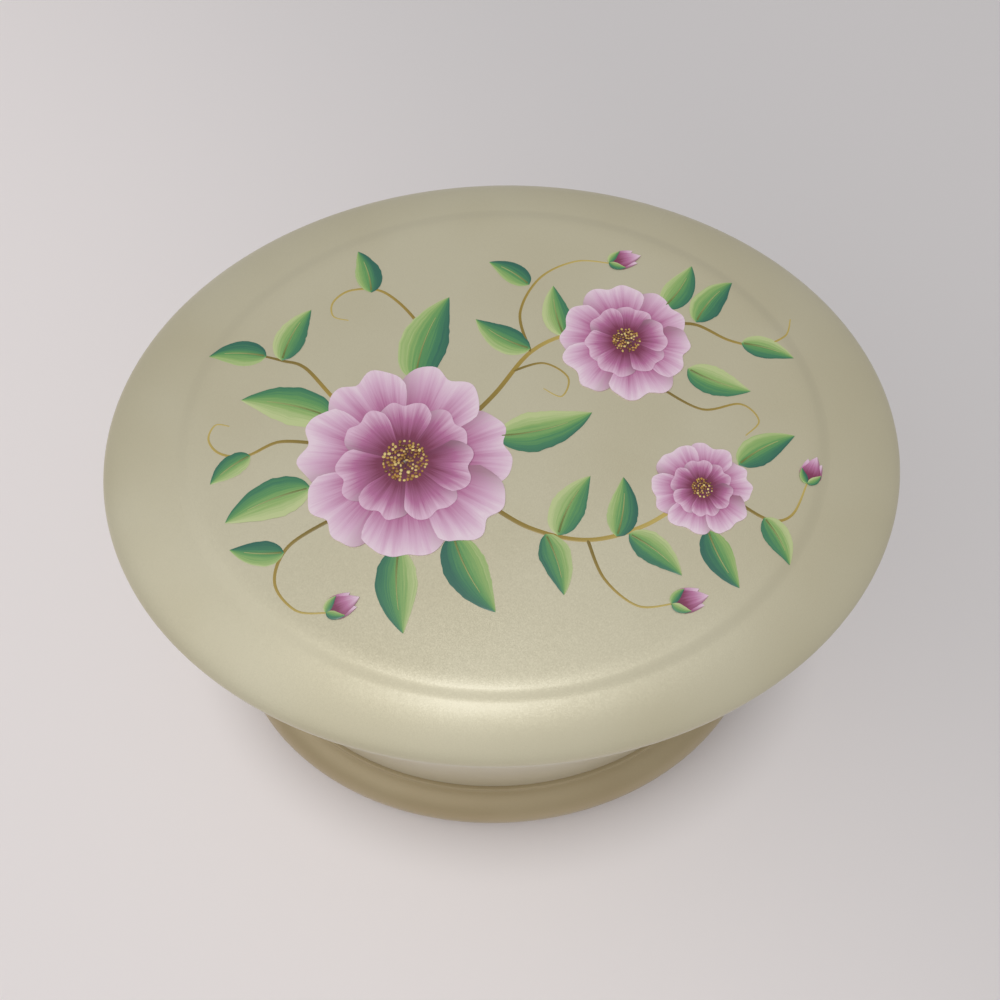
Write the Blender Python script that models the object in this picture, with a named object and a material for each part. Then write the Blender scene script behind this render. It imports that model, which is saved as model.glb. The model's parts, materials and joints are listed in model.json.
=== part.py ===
"""Oval jewellery box: a fixed bottom case, two trays and a moulded lid that swing on one upright pivot.

The origin is on the table under the middle of the oval. X runs along the oval, with the pivot at its
+X end, Y runs across it and Z points up. All lengths are in metres.
"""

import math

import bmesh
import bpy
from mathutils import Vector

# Clearances shared by every piece
SEAT_GAP = 0.0003
CUT_OVERRUN = 0.002

# Lid: an oval board with a flat top, a fine step and a rounded, moulded edge
LID_LENGTH = 0.202
LID_WIDTH = 0.164
LID_THICKNESS = 0.016
LID_RIM_HEIGHT = 0.0095
LID_MOULD_AT_ENDS = 0.0195
LID_MOULD_AT_SIDES = 0.0130
LID_STEP = 0.0007
LID_STEP_RUN = 0.0010
LID_UNDERCUT = 0.006
LID_OVERHANG = 0.0156

# Base: a slightly smaller board of the same moulding, on stick-on pads
BASE_MARGIN = 0.005
BASE_THICKNESS = 0.018
BASE_RIM_HEIGHT = 0.009
BASE_LEDGE = 0.001
BASE_STEP = 0.0006
BASE_STEP_RUN = 0.0006
BASE_UNDERCUT = 0.005
PAD_RADIUS = 0.008
PAD_THICKNESS = 0.0022
PAD_CHAMFER = 0.0004
PAD_X_SHARE = 0.60
PAD_Y_SHARE = 0.58

# Tiers: an oval wooden frame with a routed hollow and a boss left standing round the pivot
TIER_HEIGHT = 0.038
TIER_GAP = 0.0009
WALL = 0.008
WALL_EDGE_RADIUS = 0.001
BOSS_WALL = 0.0027
PIVOT_INSET = 0.0215
HOLLOW_CORNER = 0.004
FLOOR_THICKNESS = 0.003
FLOOR_REBATE = 0.003

# Felt linings, dividers and the ring cushion's rolls
LINING_THICKNESS = 0.001
LINING_DROP = 0.002
DIVIDER_THICKNESS = 0.003
DIVIDER_DROP = 0.008
DIVIDER_END_GAP = 0.0005
RING_SPACE_SHARES = (-0.42, 0.28)
CROSS_DIVIDER_SHARE = -0.12
ROLL_COUNT = 4
ROLL_GAP = 0.0006
ROLL_END_GAP = 0.0012
ROLL_END_ROUND_SHARE = 0.45

# Pivot: a furniture screw from below, turning in sleeves and holding the lid by a threaded insert
SCREW_RADIUS = 0.003
SCREW_TIP_CHAMFER = 0.0006
SCREW_IN_LID = 0.009
SCREW_HEAD_RADIUS = 0.006
SCREW_HEAD_HEIGHT = 0.004
SCREW_HEAD_CHAMFER = 0.0006
SOCKET_ACROSS_CORNERS = 0.0058
SOCKET_DEPTH = 0.0025
SLEEVE_WALL = 0.0015
SLEEVE_CHAMFER = 0.0003
GLIDE_RADIUS = 0.010
GLIDE_THICKNESS = 0.0014
COUNTERBORE_RADIUS = 0.0105
COUNTERBORE_DEPTH = 0.0105
HEAD_WASHER_RADIUS = 0.009
HEAD_WASHER_THICKNESS = 0.0015
WAVE_WASHER_RADIUS = 0.0075
WAVE_WASHER_STOCK = 0.0007
WAVE_WASHER_RISE = 0.0007
WAVE_COUNT = 3
INSERT_LENGTH = 0.010
INSERT_WALL = 0.0015
INSERT_RIDGE = 0.0005
INSERT_RIDGES = 4
INSERT_ROOM = 0.0006

# How finely curves are divided, and the least fold in degrees that shows as a sharp edge
SHARP_FOLD = 32
SOCKET_SIDES = 6
OVAL_SIDES = 64
HOLLOW_SIDES = 48
BOSS_SIDES = 10
CORNER_SIDES = 3
MOULD_STEPS = 7
UNDERCUT_STEPS = 3
EDGE_STEPS = 2
TURNED_SIDES = 24
ROLL_SIDES = 14
ROLL_END_STEPS = 3

# Sizes and levels that follow from those above
BASE_LENGTH = LID_LENGTH - 2 * BASE_MARGIN
BASE_WIDTH = LID_WIDTH - 2 * BASE_MARGIN
TIER_LENGTH = LID_LENGTH - 2 * LID_OVERHANG
TIER_WIDTH = LID_WIDTH - 2 * LID_OVERHANG
HOLLOW_HALF_LENGTH = TIER_LENGTH / 2 - WALL
HOLLOW_HALF_WIDTH = TIER_WIDTH / 2 - WALL
PIVOT_X = TIER_LENGTH / 2 - PIVOT_INSET
SCREW_HOLE_RADIUS = SCREW_RADIUS + SEAT_GAP
SLEEVE_RADIUS = SCREW_HOLE_RADIUS + SLEEVE_WALL
GLIDE_RECESS_RADIUS = GLIDE_RADIUS + SEAT_GAP
GLIDE_RECESS_DEPTH = GLIDE_THICKNESS + 2 * SEAT_GAP - TIER_GAP
BOSS_RADIUS = GLIDE_RECESS_RADIUS + BOSS_WALL
LINED_INSET = SEAT_GAP + LINING_THICKNESS
REBATE_DEPTH = FLOOR_THICKNESS + SEAT_GAP

BASE_BOTTOM = PAD_THICKNESS + SEAT_GAP
BASE_TOP = BASE_BOTTOM + BASE_THICKNESS
BOTTOM_CASE_LEVEL = BASE_TOP + SEAT_GAP
MIDDLE_TRAY_LEVEL = BOTTOM_CASE_LEVEL + TIER_HEIGHT + TIER_GAP
TOP_TRAY_LEVEL = MIDDLE_TRAY_LEVEL + TIER_HEIGHT + TIER_GAP
LID_LEVEL = TOP_TRAY_LEVEL + TIER_HEIGHT + TIER_GAP


def linear(hex_colour):
    """Turn an sRGB hex colour into the linear values that a shader takes."""
    channels = [int(hex_colour[i:i + 2], 16) / 255 for i in (0, 2, 4)]
    return [c / 12.92 if c <= 0.04045 else ((c + 0.055) / 1.055) ** 2.4 for c in channels]


def material(name, hex_colour, roughness, metallic):
    """Make a material for one piece."""
    made = bpy.data.materials.new(name)
    made.use_nodes = True
    shader = made.node_tree.nodes["Principled BSDF"]
    shader.inputs["Base Color"].default_value = (*linear(hex_colour), 1)
    shader.inputs["Roughness"].default_value = roughness
    shader.inputs["Metallic"].default_value = metallic
    return made


FINISHES = {
    "satin_paint": ("BDB798", 0.35, 0.0),
    "felt": ("8C5F6E", 0.95, 0.0),
    "velvet": ("9A6A7B", 0.95, 0.0),
    "zinc": ("A9ABAE", 0.35, 1.0),
    "brass": ("B8964F", 0.35, 1.0),
    "nylon": ("E4E1D6", 0.5, 0.0),
    "rubber": ("3A3734", 0.9, 0.0),
    "plywood": ("C9AD84", 0.7, 0.0),
}


def piece(name, mesh, finish, level=0.0, axis=None):
    """Place one mesh as a named piece, on the table or on its pivot's empty."""
    made = bpy.data.objects.new(name, mesh)
    bpy.context.scene.collection.objects.link(made)
    made.data.materials.append(material(name + "_" + finish, *FINISHES[finish]))
    if axis is None:
        made.location = (0, 0, level)
    else:
        made.parent = axis
        made.location = (-PIVOT_X, 0, 0)
    return made


def pivot(name, level):
    """An empty on the pivot's axis, at the level of the tier that turns there."""
    axis = bpy.data.objects.new(name, None)
    axis.location = (PIVOT_X, 0, level)
    bpy.context.scene.collection.objects.link(axis)
    return axis


def oval(half_length, half_width, height, sides=OVAL_SIDES):
    """One level ring of points on an oval."""
    angles = [2 * math.pi * i / sides for i in range(sides)]
    return [Vector((half_length * math.cos(a), half_width * math.sin(a), height)) for a in angles]


def circle(radius, height, x=0.0, y=0.0, sides=TURNED_SIDES):
    """One level ring of points on a circle."""
    centre = Vector((x, y, 0))
    return [point + centre for point in oval(radius, radius, height, sides)]


def raised(outline, height):
    """The points of a plan outline, lifted to a height."""
    return [Vector((x, y, height)) for x, y in outline]


def loft(name, rings, closed=False):
    """A closed mesh through rings of equally many points, capped unless it closes on itself."""
    mesh = bpy.data.meshes.new(name)
    shape = bmesh.new()
    loops = [[shape.verts.new(point) for point in ring] for ring in rings]
    pairs = list(zip(loops, loops[1:]))
    if closed:
        pairs.append((loops[-1], loops[0]))
    for lower, upper in pairs:
        for i in range(len(lower)):
            j = (i + 1) % len(lower)
            shape.faces.new((lower[i], lower[j], upper[j], upper[i]))
    if not closed:
        shape.faces.new(reversed(loops[0]))
        shape.faces.new(loops[-1])
    bmesh.ops.recalc_face_normals(shape, faces=shape.faces)
    shape.to_mesh(mesh)
    shape.free()
    mesh.shade_smooth()
    mesh.set_sharp_from_angle(angle=math.radians(SHARP_FOLD))
    return mesh


def prism(name, outline, low, high):
    """A plan outline carried straight up from one height to another."""
    return loft(name, [raised(outline, low), raised(outline, high)])


def cut(target, mesh):
    """Take a cutter's shape away from a piece; the cutter stays as a hidden guide."""
    cutter = bpy.data.objects.new(mesh.name, mesh)
    cutter.hide_render = True
    cutter.display_type = "WIRE"
    cutter.parent = target
    bpy.context.scene.collection.objects.link(cutter)
    step = target.modifiers.new(mesh.name, "BOOLEAN")
    step.operation = "DIFFERENCE"
    step.solver = "EXACT"
    step.object = cutter


def round_cutter(name, radius, low, high, x=PIVOT_X):
    """A plain round cutter standing on the pivot's line."""
    return loft(name, [circle(radius, low, x), circle(radius, high, x)])


def moulded_board(name, length, width, thickness, rim, mould, step, step_run, undercut):
    """An oval board: rounded below and above its rim, with a fine step up to its flat top."""
    mould_x, mould_y = mould
    rings = []
    for i in range(UNDERCUT_STEPS):
        turn = math.pi / 2 * i / UNDERCUT_STEPS
        inset = undercut * (1 - math.sin(turn))
        rings.append(oval(length / 2 - inset, width / 2 - inset, rim * (1 - math.cos(turn))))
    for i in range(MOULD_STEPS + 1):
        turn = math.pi / 2 * i / MOULD_STEPS
        share = 1 - math.cos(turn)
        height = rim + (thickness - rim - step) * math.sin(turn)
        rings.append(oval(length / 2 - share * mould_x, width / 2 - share * mould_y, height))
    flat_length = length / 2 - mould_x - step_run
    flat_width = width / 2 - mould_y - step_run
    rings.append(oval(flat_length, flat_width, thickness))
    return loft(name, rings)


def hollow_outline(inset):
    """Plan of a tier's hollow, drawn in by an inset: an oval that leaves a round-nosed boss at the pivot."""
    half_length = HOLLOW_HALF_LENGTH - inset
    half_width = HOLLOW_HALF_WIDTH - inset
    boss = BOSS_RADIUS + inset
    corner_x = half_length * math.sqrt(1 - (boss / half_width) ** 2)
    start = math.asin((boss + HOLLOW_CORNER) / half_width)
    points = []
    for i in range(HOLLOW_SIDES + 1):
        angle = start + (2 * math.pi - 2 * start) * i / HOLLOW_SIDES
        points.append((half_length * math.cos(angle), half_width * math.sin(angle)))
    on_oval = Vector(points[-1])
    corner = Vector((corner_x, -boss))
    on_boss = Vector((corner_x - HOLLOW_CORNER, -boss))
    rounded = []
    for i in range(1, CORNER_SIDES + 1):
        t = i / CORNER_SIDES
        rounded.append(tuple(on_oval * (1 - t) ** 2 + corner * 2 * t * (1 - t) + on_boss * t ** 2))
    points += rounded
    for i in range(BOSS_SIDES + 1):
        angle = math.pi * (1.5 - i / BOSS_SIDES)
        points.append((PIVOT_X + boss * math.cos(angle), boss * math.sin(angle)))
    points += [(x, -y) for x, y in reversed(rounded)]
    return points


def lined_half_width(x):
    """Half the width between the side linings at a place along the tier."""
    half_length = HOLLOW_HALF_LENGTH - LINED_INSET
    half_width = HOLLOW_HALF_WIDTH - LINED_INSET
    return half_width * math.sqrt(1 - (x / half_length) ** 2)


def tier_block(name):
    """The oval block that a tier is routed from, its top and bottom edges softened."""
    softening = []
    for i in range(EDGE_STEPS + 1):
        turn = math.pi / 2 * i / EDGE_STEPS
        softening.append((WALL_EDGE_RADIUS * (1 - math.sin(turn)), WALL_EDGE_RADIUS * (1 - math.cos(turn))))
    levels = list(softening)
    levels += [(inset, TIER_HEIGHT - rise) for inset, rise in reversed(softening)]
    return loft(name, [oval(TIER_LENGTH / 2 - inset, TIER_WIDTH / 2 - inset, z) for inset, z in levels])


def tier_frame(name, has_floor_rebate, level, axis):
    """An oval wooden wall with its pivot boss, routed through from one block."""
    frame = piece(name, tier_block(name), "satin_paint", level, axis)
    recess_floor = TIER_HEIGHT - GLIDE_RECESS_DEPTH
    top = TIER_HEIGHT + CUT_OVERRUN
    cut(frame, prism(name + "_hollow", hollow_outline(0.0), -CUT_OVERRUN, top))
    if has_floor_rebate:
        cut(frame, prism(name + "_rebate", hollow_outline(-FLOOR_REBATE), -CUT_OVERRUN, REBATE_DEPTH))
    cut(frame, round_cutter(name + "_bore", SLEEVE_RADIUS + SEAT_GAP, -CUT_OVERRUN, TIER_HEIGHT))
    cut(frame, round_cutter(name + "_glide_recess", GLIDE_RECESS_RADIUS, recess_floor, top))


def turned_ring(name, inner, outer, low, high, chamfer=0.0):
    """A ring about the pivot's line, with its outer edges chamfered where it has a chamfer."""
    profile = [(inner, low), (outer - chamfer, low)]
    if chamfer:
        profile += [(outer, low + chamfer), (outer, high - chamfer)]
    profile += [(outer - chamfer, high), (inner, high)]
    return loft(name, [circle(radius, height, PIVOT_X) for radius, height in profile], closed=True)


def sleeve(name, low, level, axis):
    """The brass sleeve in a boss, on which its tier turns about the screw."""
    high = TIER_HEIGHT - GLIDE_RECESS_DEPTH - SEAT_GAP
    mesh = turned_ring(name, SCREW_HOLE_RADIUS, SLEEVE_RADIUS, low, high, SLEEVE_CHAMFER)
    return piece(name, mesh, "brass", level, axis)


def glide_washer(name, level, axis):
    """The nylon washer in the top of a boss, which carries the tier above just clear of this one."""
    low = TIER_HEIGHT - GLIDE_RECESS_DEPTH + SEAT_GAP
    mesh = turned_ring(name, SCREW_HOLE_RADIUS, GLIDE_RADIUS, low, low + GLIDE_THICKNESS)
    return piece(name, mesh, "nylon", level, axis)


def linings(name, floor_level, level, axis):
    """A tier's felt: a sheet on its floor and a strip round its wall and boss."""
    low = floor_level + SEAT_GAP
    high = low + LINING_THICKNESS
    floor_mesh = prism(name + "_floor_lining", hollow_outline(SEAT_GAP), low, high)
    piece(name + "_floor_lining", floor_mesh, "felt", level, axis)
    strip_low = high + SEAT_GAP
    strip_high = TIER_HEIGHT - LINING_DROP
    outer = hollow_outline(SEAT_GAP)
    inner = hollow_outline(LINED_INSET)
    rings = [
        raised(outer, strip_low),
        raised(outer, strip_high),
        raised(inner, strip_high),
        raised(inner, strip_low),
    ]
    strip_mesh = loft(name + "_side_lining", rings, closed=True)
    piece(name + "_side_lining", strip_mesh, "felt", level, axis)
    return strip_low


def cross_divider(name, x, low, level, axis):
    """A divider across a tier, its ends cut to the curve of the wall's lining."""
    left = x - DIVIDER_THICKNESS / 2
    right = x + DIVIDER_THICKNESS / 2
    left_reach = lined_half_width(left) - DIVIDER_END_GAP
    right_reach = lined_half_width(right) - DIVIDER_END_GAP
    outline = [(left, -left_reach), (right, -right_reach), (right, right_reach), (left, left_reach)]
    mesh = prism(name, outline, low, TIER_HEIGHT - DIVIDER_DROP)
    return piece(name, mesh, "velvet", level, axis)


def box_outline(left, right, near, far):
    """Plan of a rectangle."""
    return [(left, near), (right, near), (right, far), (left, far)]


def halved_dividers(low, level, axis):
    """The middle tray's long and cross dividers, slotted into each other half and half."""
    cross_x = CROSS_DIVIDER_SHARE * HOLLOW_HALF_LENGTH
    top = TIER_HEIGHT - DIVIDER_DROP
    half = (low + top) / 2
    slot = DIVIDER_THICKNESS / 2 + SEAT_GAP
    cross = cross_divider("middle_tray_cross_divider", cross_x, low, level, axis)
    cross_slot_plan = box_outline(cross_x - CUT_OVERRUN - slot, cross_x + CUT_OVERRUN + slot, -slot, slot)
    cut(cross, prism("cross_slot", cross_slot_plan, half - SEAT_GAP / 2, top + CUT_OVERRUN))
    end_x = HOLLOW_HALF_LENGTH - LINED_INSET
    shortened = end_x * math.sqrt(1 - (DIVIDER_THICKNESS / 2 / (HOLLOW_HALF_WIDTH - LINED_INSET)) ** 2)
    left = DIVIDER_END_GAP - shortened
    right = PIVOT_X - BOSS_RADIUS - LINED_INSET - DIVIDER_END_GAP
    outline = box_outline(left, right, -DIVIDER_THICKNESS / 2, DIVIDER_THICKNESS / 2)
    long_mesh = prism("middle_tray_long_divider", outline, low, top)
    long_divider = piece("middle_tray_long_divider", long_mesh, "velvet", level, axis)
    long_slot_plan = box_outline(cross_x - slot, cross_x + slot, -CUT_OVERRUN - slot, CUT_OVERRUN + slot)
    cut(long_divider, prism("long_slot", long_slot_plan, low - CUT_OVERRUN, half + SEAT_GAP / 2))


def ring_rolls(low, level, axis):
    """The ring cushion: soft rolls side by side between the top tray's dividers."""
    left, right = [share * HOLLOW_HALF_LENGTH for share in RING_SPACE_SHARES]
    cross_divider("top_tray_left_divider", left, low, level, axis)
    cross_divider("top_tray_right_divider", right, low, level, axis)
    first = left + DIVIDER_THICKNESS / 2
    pitch = (right - left - DIVIDER_THICKNESS) / ROLL_COUNT
    radius = (pitch - ROLL_GAP) / 2
    end_round = radius * ROLL_END_ROUND_SHARE
    for number in range(ROLL_COUNT):
        x = first + pitch * (2 * number + 1) / 2
        reach = lined_half_width(abs(x) + radius) - ROLL_END_GAP
        stations = []
        for i in range(ROLL_END_STEPS + 1):
            turn = math.pi / 2 * i / ROLL_END_STEPS
            narrowed = radius - end_round * (1 - math.sin(turn))
            stations.append((reach - end_round * (1 - math.cos(turn)), narrowed))
        stations = [(-y, r) for y, r in stations] + [(y, r) for y, r in reversed(stations)]
        rings = []
        for y, r in stations:
            ring = circle(r, 0.0, sides=ROLL_SIDES)
            rings.append([Vector((x + p.x, y, low + radius + p.y)) for p in ring])
        name = "ring_roll_%d" % (number + 1)
        piece(name, loft(name, rings), "velvet", level, axis)


def lid(axis):
    """The lid's board, with a blind hole underneath for the insert that holds the screw."""
    mould = (LID_MOULD_AT_ENDS, LID_MOULD_AT_SIDES)
    mesh = moulded_board(
        "lid_board", LID_LENGTH, LID_WIDTH, LID_THICKNESS, LID_RIM_HEIGHT, mould, LID_STEP, LID_STEP_RUN,
        LID_UNDERCUT)
    board = piece("lid_board", mesh, "satin_paint", axis=axis)
    insert_radius = SCREW_HOLE_RADIUS + INSERT_WALL
    hole_radius = insert_radius + INSERT_RIDGE + SEAT_GAP
    cut(board, round_cutter("insert_hole", hole_radius, -CUT_OVERRUN, INSERT_LENGTH + INSERT_ROOM))
    profile = [(SCREW_HOLE_RADIUS, 0.0)]
    ridge_pitch = INSERT_LENGTH / INSERT_RIDGES
    for i in range(INSERT_RIDGES):
        profile.append((insert_radius, ridge_pitch * i))
        profile.append((insert_radius + INSERT_RIDGE, ridge_pitch * (2 * i + 1) / 2))
    profile.append((insert_radius, INSERT_LENGTH))
    profile.append((SCREW_HOLE_RADIUS, INSERT_LENGTH))
    rings = [circle(radius, height, PIVOT_X) for radius, height in profile]
    piece("lid_insert", loft("lid_insert", rings, closed=True), "brass", axis=axis)


def pivot_screw(axis):
    """The furniture screw: its head sits in the base's counterbore and its end in the lid's insert."""
    ceiling = BASE_BOTTOM + COUNTERBORE_DEPTH - LID_LEVEL
    wave_top = ceiling - SEAT_GAP
    washer_top = wave_top - WAVE_WASHER_STOCK - WAVE_WASHER_RISE - SEAT_GAP
    head_top = washer_top - HEAD_WASHER_THICKNESS - SEAT_GAP
    head_bottom = head_top - SCREW_HEAD_HEIGHT
    profile = [
        (SCREW_HEAD_RADIUS - SCREW_HEAD_CHAMFER, head_bottom),
        (SCREW_HEAD_RADIUS, head_bottom + SCREW_HEAD_CHAMFER),
        (SCREW_HEAD_RADIUS, head_top),
        (SCREW_RADIUS, head_top),
        (SCREW_RADIUS, SCREW_IN_LID - SCREW_TIP_CHAMFER),
        (SCREW_RADIUS - SCREW_TIP_CHAMFER, SCREW_IN_LID),
    ]
    mesh = loft("pivot_screw", [circle(radius, height, PIVOT_X) for radius, height in profile])
    screw = piece("pivot_screw", mesh, "zinc", axis=axis)
    socket_low = head_bottom - CUT_OVERRUN
    socket_high = head_bottom + SOCKET_DEPTH
    socket_radius = SOCKET_ACROSS_CORNERS / 2
    ends = [circle(socket_radius, z, PIVOT_X, sides=SOCKET_SIDES) for z in (socket_low, socket_high)]
    cut(screw, loft("hex_socket", ends))
    return wave_top + LID_LEVEL, washer_top + LID_LEVEL


def screw_washers(wave_top, washer_top):
    """Under the base: a plain washer on the head and a wave washer that keeps a light drag on the stack."""
    washer_low = washer_top - HEAD_WASHER_THICKNESS
    mesh = turned_ring("head_washer", SCREW_HOLE_RADIUS, HEAD_WASHER_RADIUS, washer_low, washer_top)
    piece("head_washer", mesh, "zinc")
    low = wave_top - WAVE_WASHER_STOCK - WAVE_WASHER_RISE
    corners = [
        (SCREW_HOLE_RADIUS, 0.0),
        (WAVE_WASHER_RADIUS, 0.0),
        (WAVE_WASHER_RADIUS, WAVE_WASHER_STOCK),
        (SCREW_HOLE_RADIUS, WAVE_WASHER_STOCK),
    ]
    rings = []
    for radius, rise in corners:
        ring = circle(radius, low + rise, PIVOT_X, sides=2 * TURNED_SIDES)
        for i, point in enumerate(ring):
            angle = 2 * math.pi * i / len(ring)
            point.z += WAVE_WASHER_RISE * (1 - math.cos(WAVE_COUNT * angle)) / 2
        rings.append(ring)
    piece("wave_washer", loft("wave_washer", rings, closed=True), "zinc")


def base():
    """The base board, bored for the screw from below, and its four pads."""
    edge = LID_OVERHANG - BASE_MARGIN - BASE_LEDGE - BASE_STEP_RUN
    mesh = moulded_board(
        "base_board", BASE_LENGTH, BASE_WIDTH, BASE_THICKNESS, BASE_RIM_HEIGHT, (edge, edge), BASE_STEP,
        BASE_STEP_RUN, BASE_UNDERCUT)
    board = piece("base_board", mesh, "satin_paint", BASE_BOTTOM)
    cut(board, round_cutter("counterbore", COUNTERBORE_RADIUS, -CUT_OVERRUN, COUNTERBORE_DEPTH))
    low = COUNTERBORE_DEPTH - CUT_OVERRUN
    cut(board, round_cutter("screw_hole", SCREW_HOLE_RADIUS, low, BASE_THICKNESS + CUT_OVERRUN))
    number = 0
    for side_x in (-1, 1):
        for side_y in (-1, 1):
            number += 1
            x = side_x * PAD_X_SHARE * BASE_LENGTH / 2
            y = side_y * PAD_Y_SHARE * BASE_WIDTH / 2
            rings = [
                circle(PAD_RADIUS - PAD_CHAMFER, 0.0, x, y),
                circle(PAD_RADIUS, PAD_CHAMFER, x, y),
                circle(PAD_RADIUS, PAD_THICKNESS, x, y),
            ]
            name = "foot_pad_%d" % number
            piece(name, loft(name, rings), "rubber")


def bottom_case():
    """The lowest tier, glued on the base board, which is its floor."""
    tier_frame("bottom_case_frame", False, BOTTOM_CASE_LEVEL, None)
    linings("bottom_case", 0.0, BOTTOM_CASE_LEVEL, None)
    sleeve("bottom_case_sleeve", 0.0, BOTTOM_CASE_LEVEL, None)
    glide_washer("bottom_glide_washer", BOTTOM_CASE_LEVEL, None)


def tray(place, level):
    """A tier that swings out: its frame, plywood floor, felt, sleeve and the glide washer on its boss."""
    name = place + "_tray"
    axis = pivot(name + "_pivot", level)
    tier_frame(name + "_frame", True, level, axis)
    floor_outline = hollow_outline(SEAT_GAP - FLOOR_REBATE)
    floor_mesh = prism(name + "_floor", floor_outline, 0.0, FLOOR_THICKNESS)
    piece(name + "_floor", floor_mesh, "plywood", level, axis)
    lined_floor = linings(name, FLOOR_THICKNESS, level, axis)
    sleeve(name + "_sleeve", 0.0, level, axis)
    glide_washer(place + "_glide_washer", level, axis)
    return axis, lined_floor


def main():
    """Clear the scene and build the box from the table up."""
    for old in list(bpy.data.objects):
        bpy.data.objects.remove(old)
    base()
    bottom_case()
    middle_axis, middle_floor = tray("middle", MIDDLE_TRAY_LEVEL)
    halved_dividers(middle_floor, MIDDLE_TRAY_LEVEL, middle_axis)
    top_axis, top_floor = tray("top", TOP_TRAY_LEVEL)
    ring_rolls(top_floor, TOP_TRAY_LEVEL, top_axis)
    lid_axis = pivot("lid_pivot", LID_LEVEL)
    lid(lid_axis)
    screw_washers(*pivot_screw(lid_axis))


main()
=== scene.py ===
# %% [markdown]
# # An oval swivel jewellery box
#
# The real object is a stack of three oval wooden tiers under a moulded lid. Everything but the bottom
# tier swings sideways on one hidden screw near the right end. It is sprayed in a pearly champagne
# lacquer, its hollows are lined with felt, and flowers are painted on the lid by hand.
#
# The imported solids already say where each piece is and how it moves. This script gives each piece its
# fine surface and its finish, and leaves every place and size alone.

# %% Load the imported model
import json
import math

import bmesh
import bpy
from mathutils import Matrix, Vector
from mathutils.bvhtree import BVHTree
from mathutils.noise import noise


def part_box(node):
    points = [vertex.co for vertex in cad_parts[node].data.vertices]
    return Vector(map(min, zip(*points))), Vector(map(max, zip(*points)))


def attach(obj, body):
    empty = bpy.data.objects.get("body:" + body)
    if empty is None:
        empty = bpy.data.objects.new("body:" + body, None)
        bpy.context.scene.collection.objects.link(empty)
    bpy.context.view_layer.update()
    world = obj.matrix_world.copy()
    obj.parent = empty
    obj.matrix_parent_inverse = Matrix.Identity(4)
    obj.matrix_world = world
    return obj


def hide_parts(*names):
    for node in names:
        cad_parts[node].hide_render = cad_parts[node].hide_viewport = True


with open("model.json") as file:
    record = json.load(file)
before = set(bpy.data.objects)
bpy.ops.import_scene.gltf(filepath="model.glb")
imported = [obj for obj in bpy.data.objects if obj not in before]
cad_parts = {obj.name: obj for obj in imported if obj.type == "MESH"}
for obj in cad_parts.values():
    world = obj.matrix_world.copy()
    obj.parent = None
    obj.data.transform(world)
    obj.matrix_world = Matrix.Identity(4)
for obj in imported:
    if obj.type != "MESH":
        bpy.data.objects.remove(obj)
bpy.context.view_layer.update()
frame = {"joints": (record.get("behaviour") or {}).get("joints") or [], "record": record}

# %% [markdown]
# ## Sizes
#
# The frame gives each piece's box, so lengths, levels and the screw's place are read from there. Only
# the shapes inside a box need sizes of their own: mouldings, small radii and the thickness of the paint.

# %% Sizes read from the solids, and the few that shape what lies inside them
MM = 0.001
GAP = 0.3 * MM
PIVOT = Vector(frame["joints"][0]["pos_m"]).to_2d()
LID_LOW, LID_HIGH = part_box("lid_board")
BASE_LOW, BASE_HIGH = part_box("base_board")
TIER_LOW, TIER_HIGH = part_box("bottom_case_frame")
TIER_HALF = (TIER_HIGH - TIER_LOW) / 2
WALL = 8 * MM
BOSS_RADIUS = 13 * MM
REBATE = 3 * MM
print("The screw stands at x =", round(1000 * PIVOT.x, 1), "mm")
print("The bottom tier is", round(2000 * TIER_HALF.z, 1), "mm high")

# %% [markdown]
# ## The camera
#
# The photograph looks down on the closed box from close by, so nearer edges look clearly bigger. A
# camera with the same distance, tilt and angle of view as the photograph's gives the same foreshortening.

# %% Place the camera
VIEW_TILT = math.radians(62.5)
VIEW_YAW = math.radians(5.0)
VIEW_DISTANCE = 268.7 * MM
NOD = math.radians(3.25)
PAN = math.radians(0.13)
ROLL = math.radians(1.9)
SENSOR = 36.0
FOCAL = 37.8
NEAREST_SEEN = 10 * MM
RIM_HEIGHT = 9.5 * MM

camera = bpy.data.objects.new("camera", bpy.data.cameras.new("camera"))
bpy.context.scene.collection.objects.link(camera)
camera.data.sensor_width = SENSOR
camera.data.lens = FOCAL
camera.data.clip_start = NEAREST_SEEN
aimed = Matrix.Rotation(-VIEW_YAW, 3, "Z") @ Matrix.Rotation(math.pi / 2 - VIEW_TILT, 3, "X")
looked_at = Vector((0, 0, LID_LOW.z + RIM_HEIGHT))
stand = looked_at + aimed @ Vector((0, 0, VIEW_DISTANCE))
held = aimed @ Matrix.Rotation(-NOD, 3, "X") @ Matrix.Rotation(PAN, 3, "Y") @ Matrix.Rotation(ROLL, 3, "Z")
camera.matrix_world = Matrix.Translation(stand) @ held.to_4x4()
bpy.context.scene.camera = camera
print("The camera stands", round(1000 * VIEW_DISTANCE), "mm from the lid's rim plane")

# %% [markdown]
# ## Small tools
#
# A node tree is easier to read when adding a node, setting it and linking it are one line, and when each
# line hands back the socket that the next one needs. Colours are written as sRGB hex, as a paint chart
# gives them, and one function turns them to the linear values that shaders need.

# %% Colours and nodes
def linear(hex_colour):
    """The linear RGBA of an sRGB hex colour."""
    channels = [int(hex_colour[i:i + 2], 16) / 255 for i in (0, 2, 4)]
    return [c / 12.92 if c <= 0.04045 else ((c + 0.055) / 1.055) ** 2.4 for c in channels] + [1.0]


def add(tree, kind, inputs=None, **settings):
    """Add a node, set its own properties, and give its sockets values or links."""
    node = tree.nodes.new(kind)
    for name, value in settings.items():
        setattr(node, name, value)
    for socket, value in (inputs or {}).items():
        if isinstance(value, bpy.types.NodeSocket):
            tree.links.new(value, node.inputs[socket])
        else:
            node.inputs[socket].default_value = value
    return node


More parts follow.
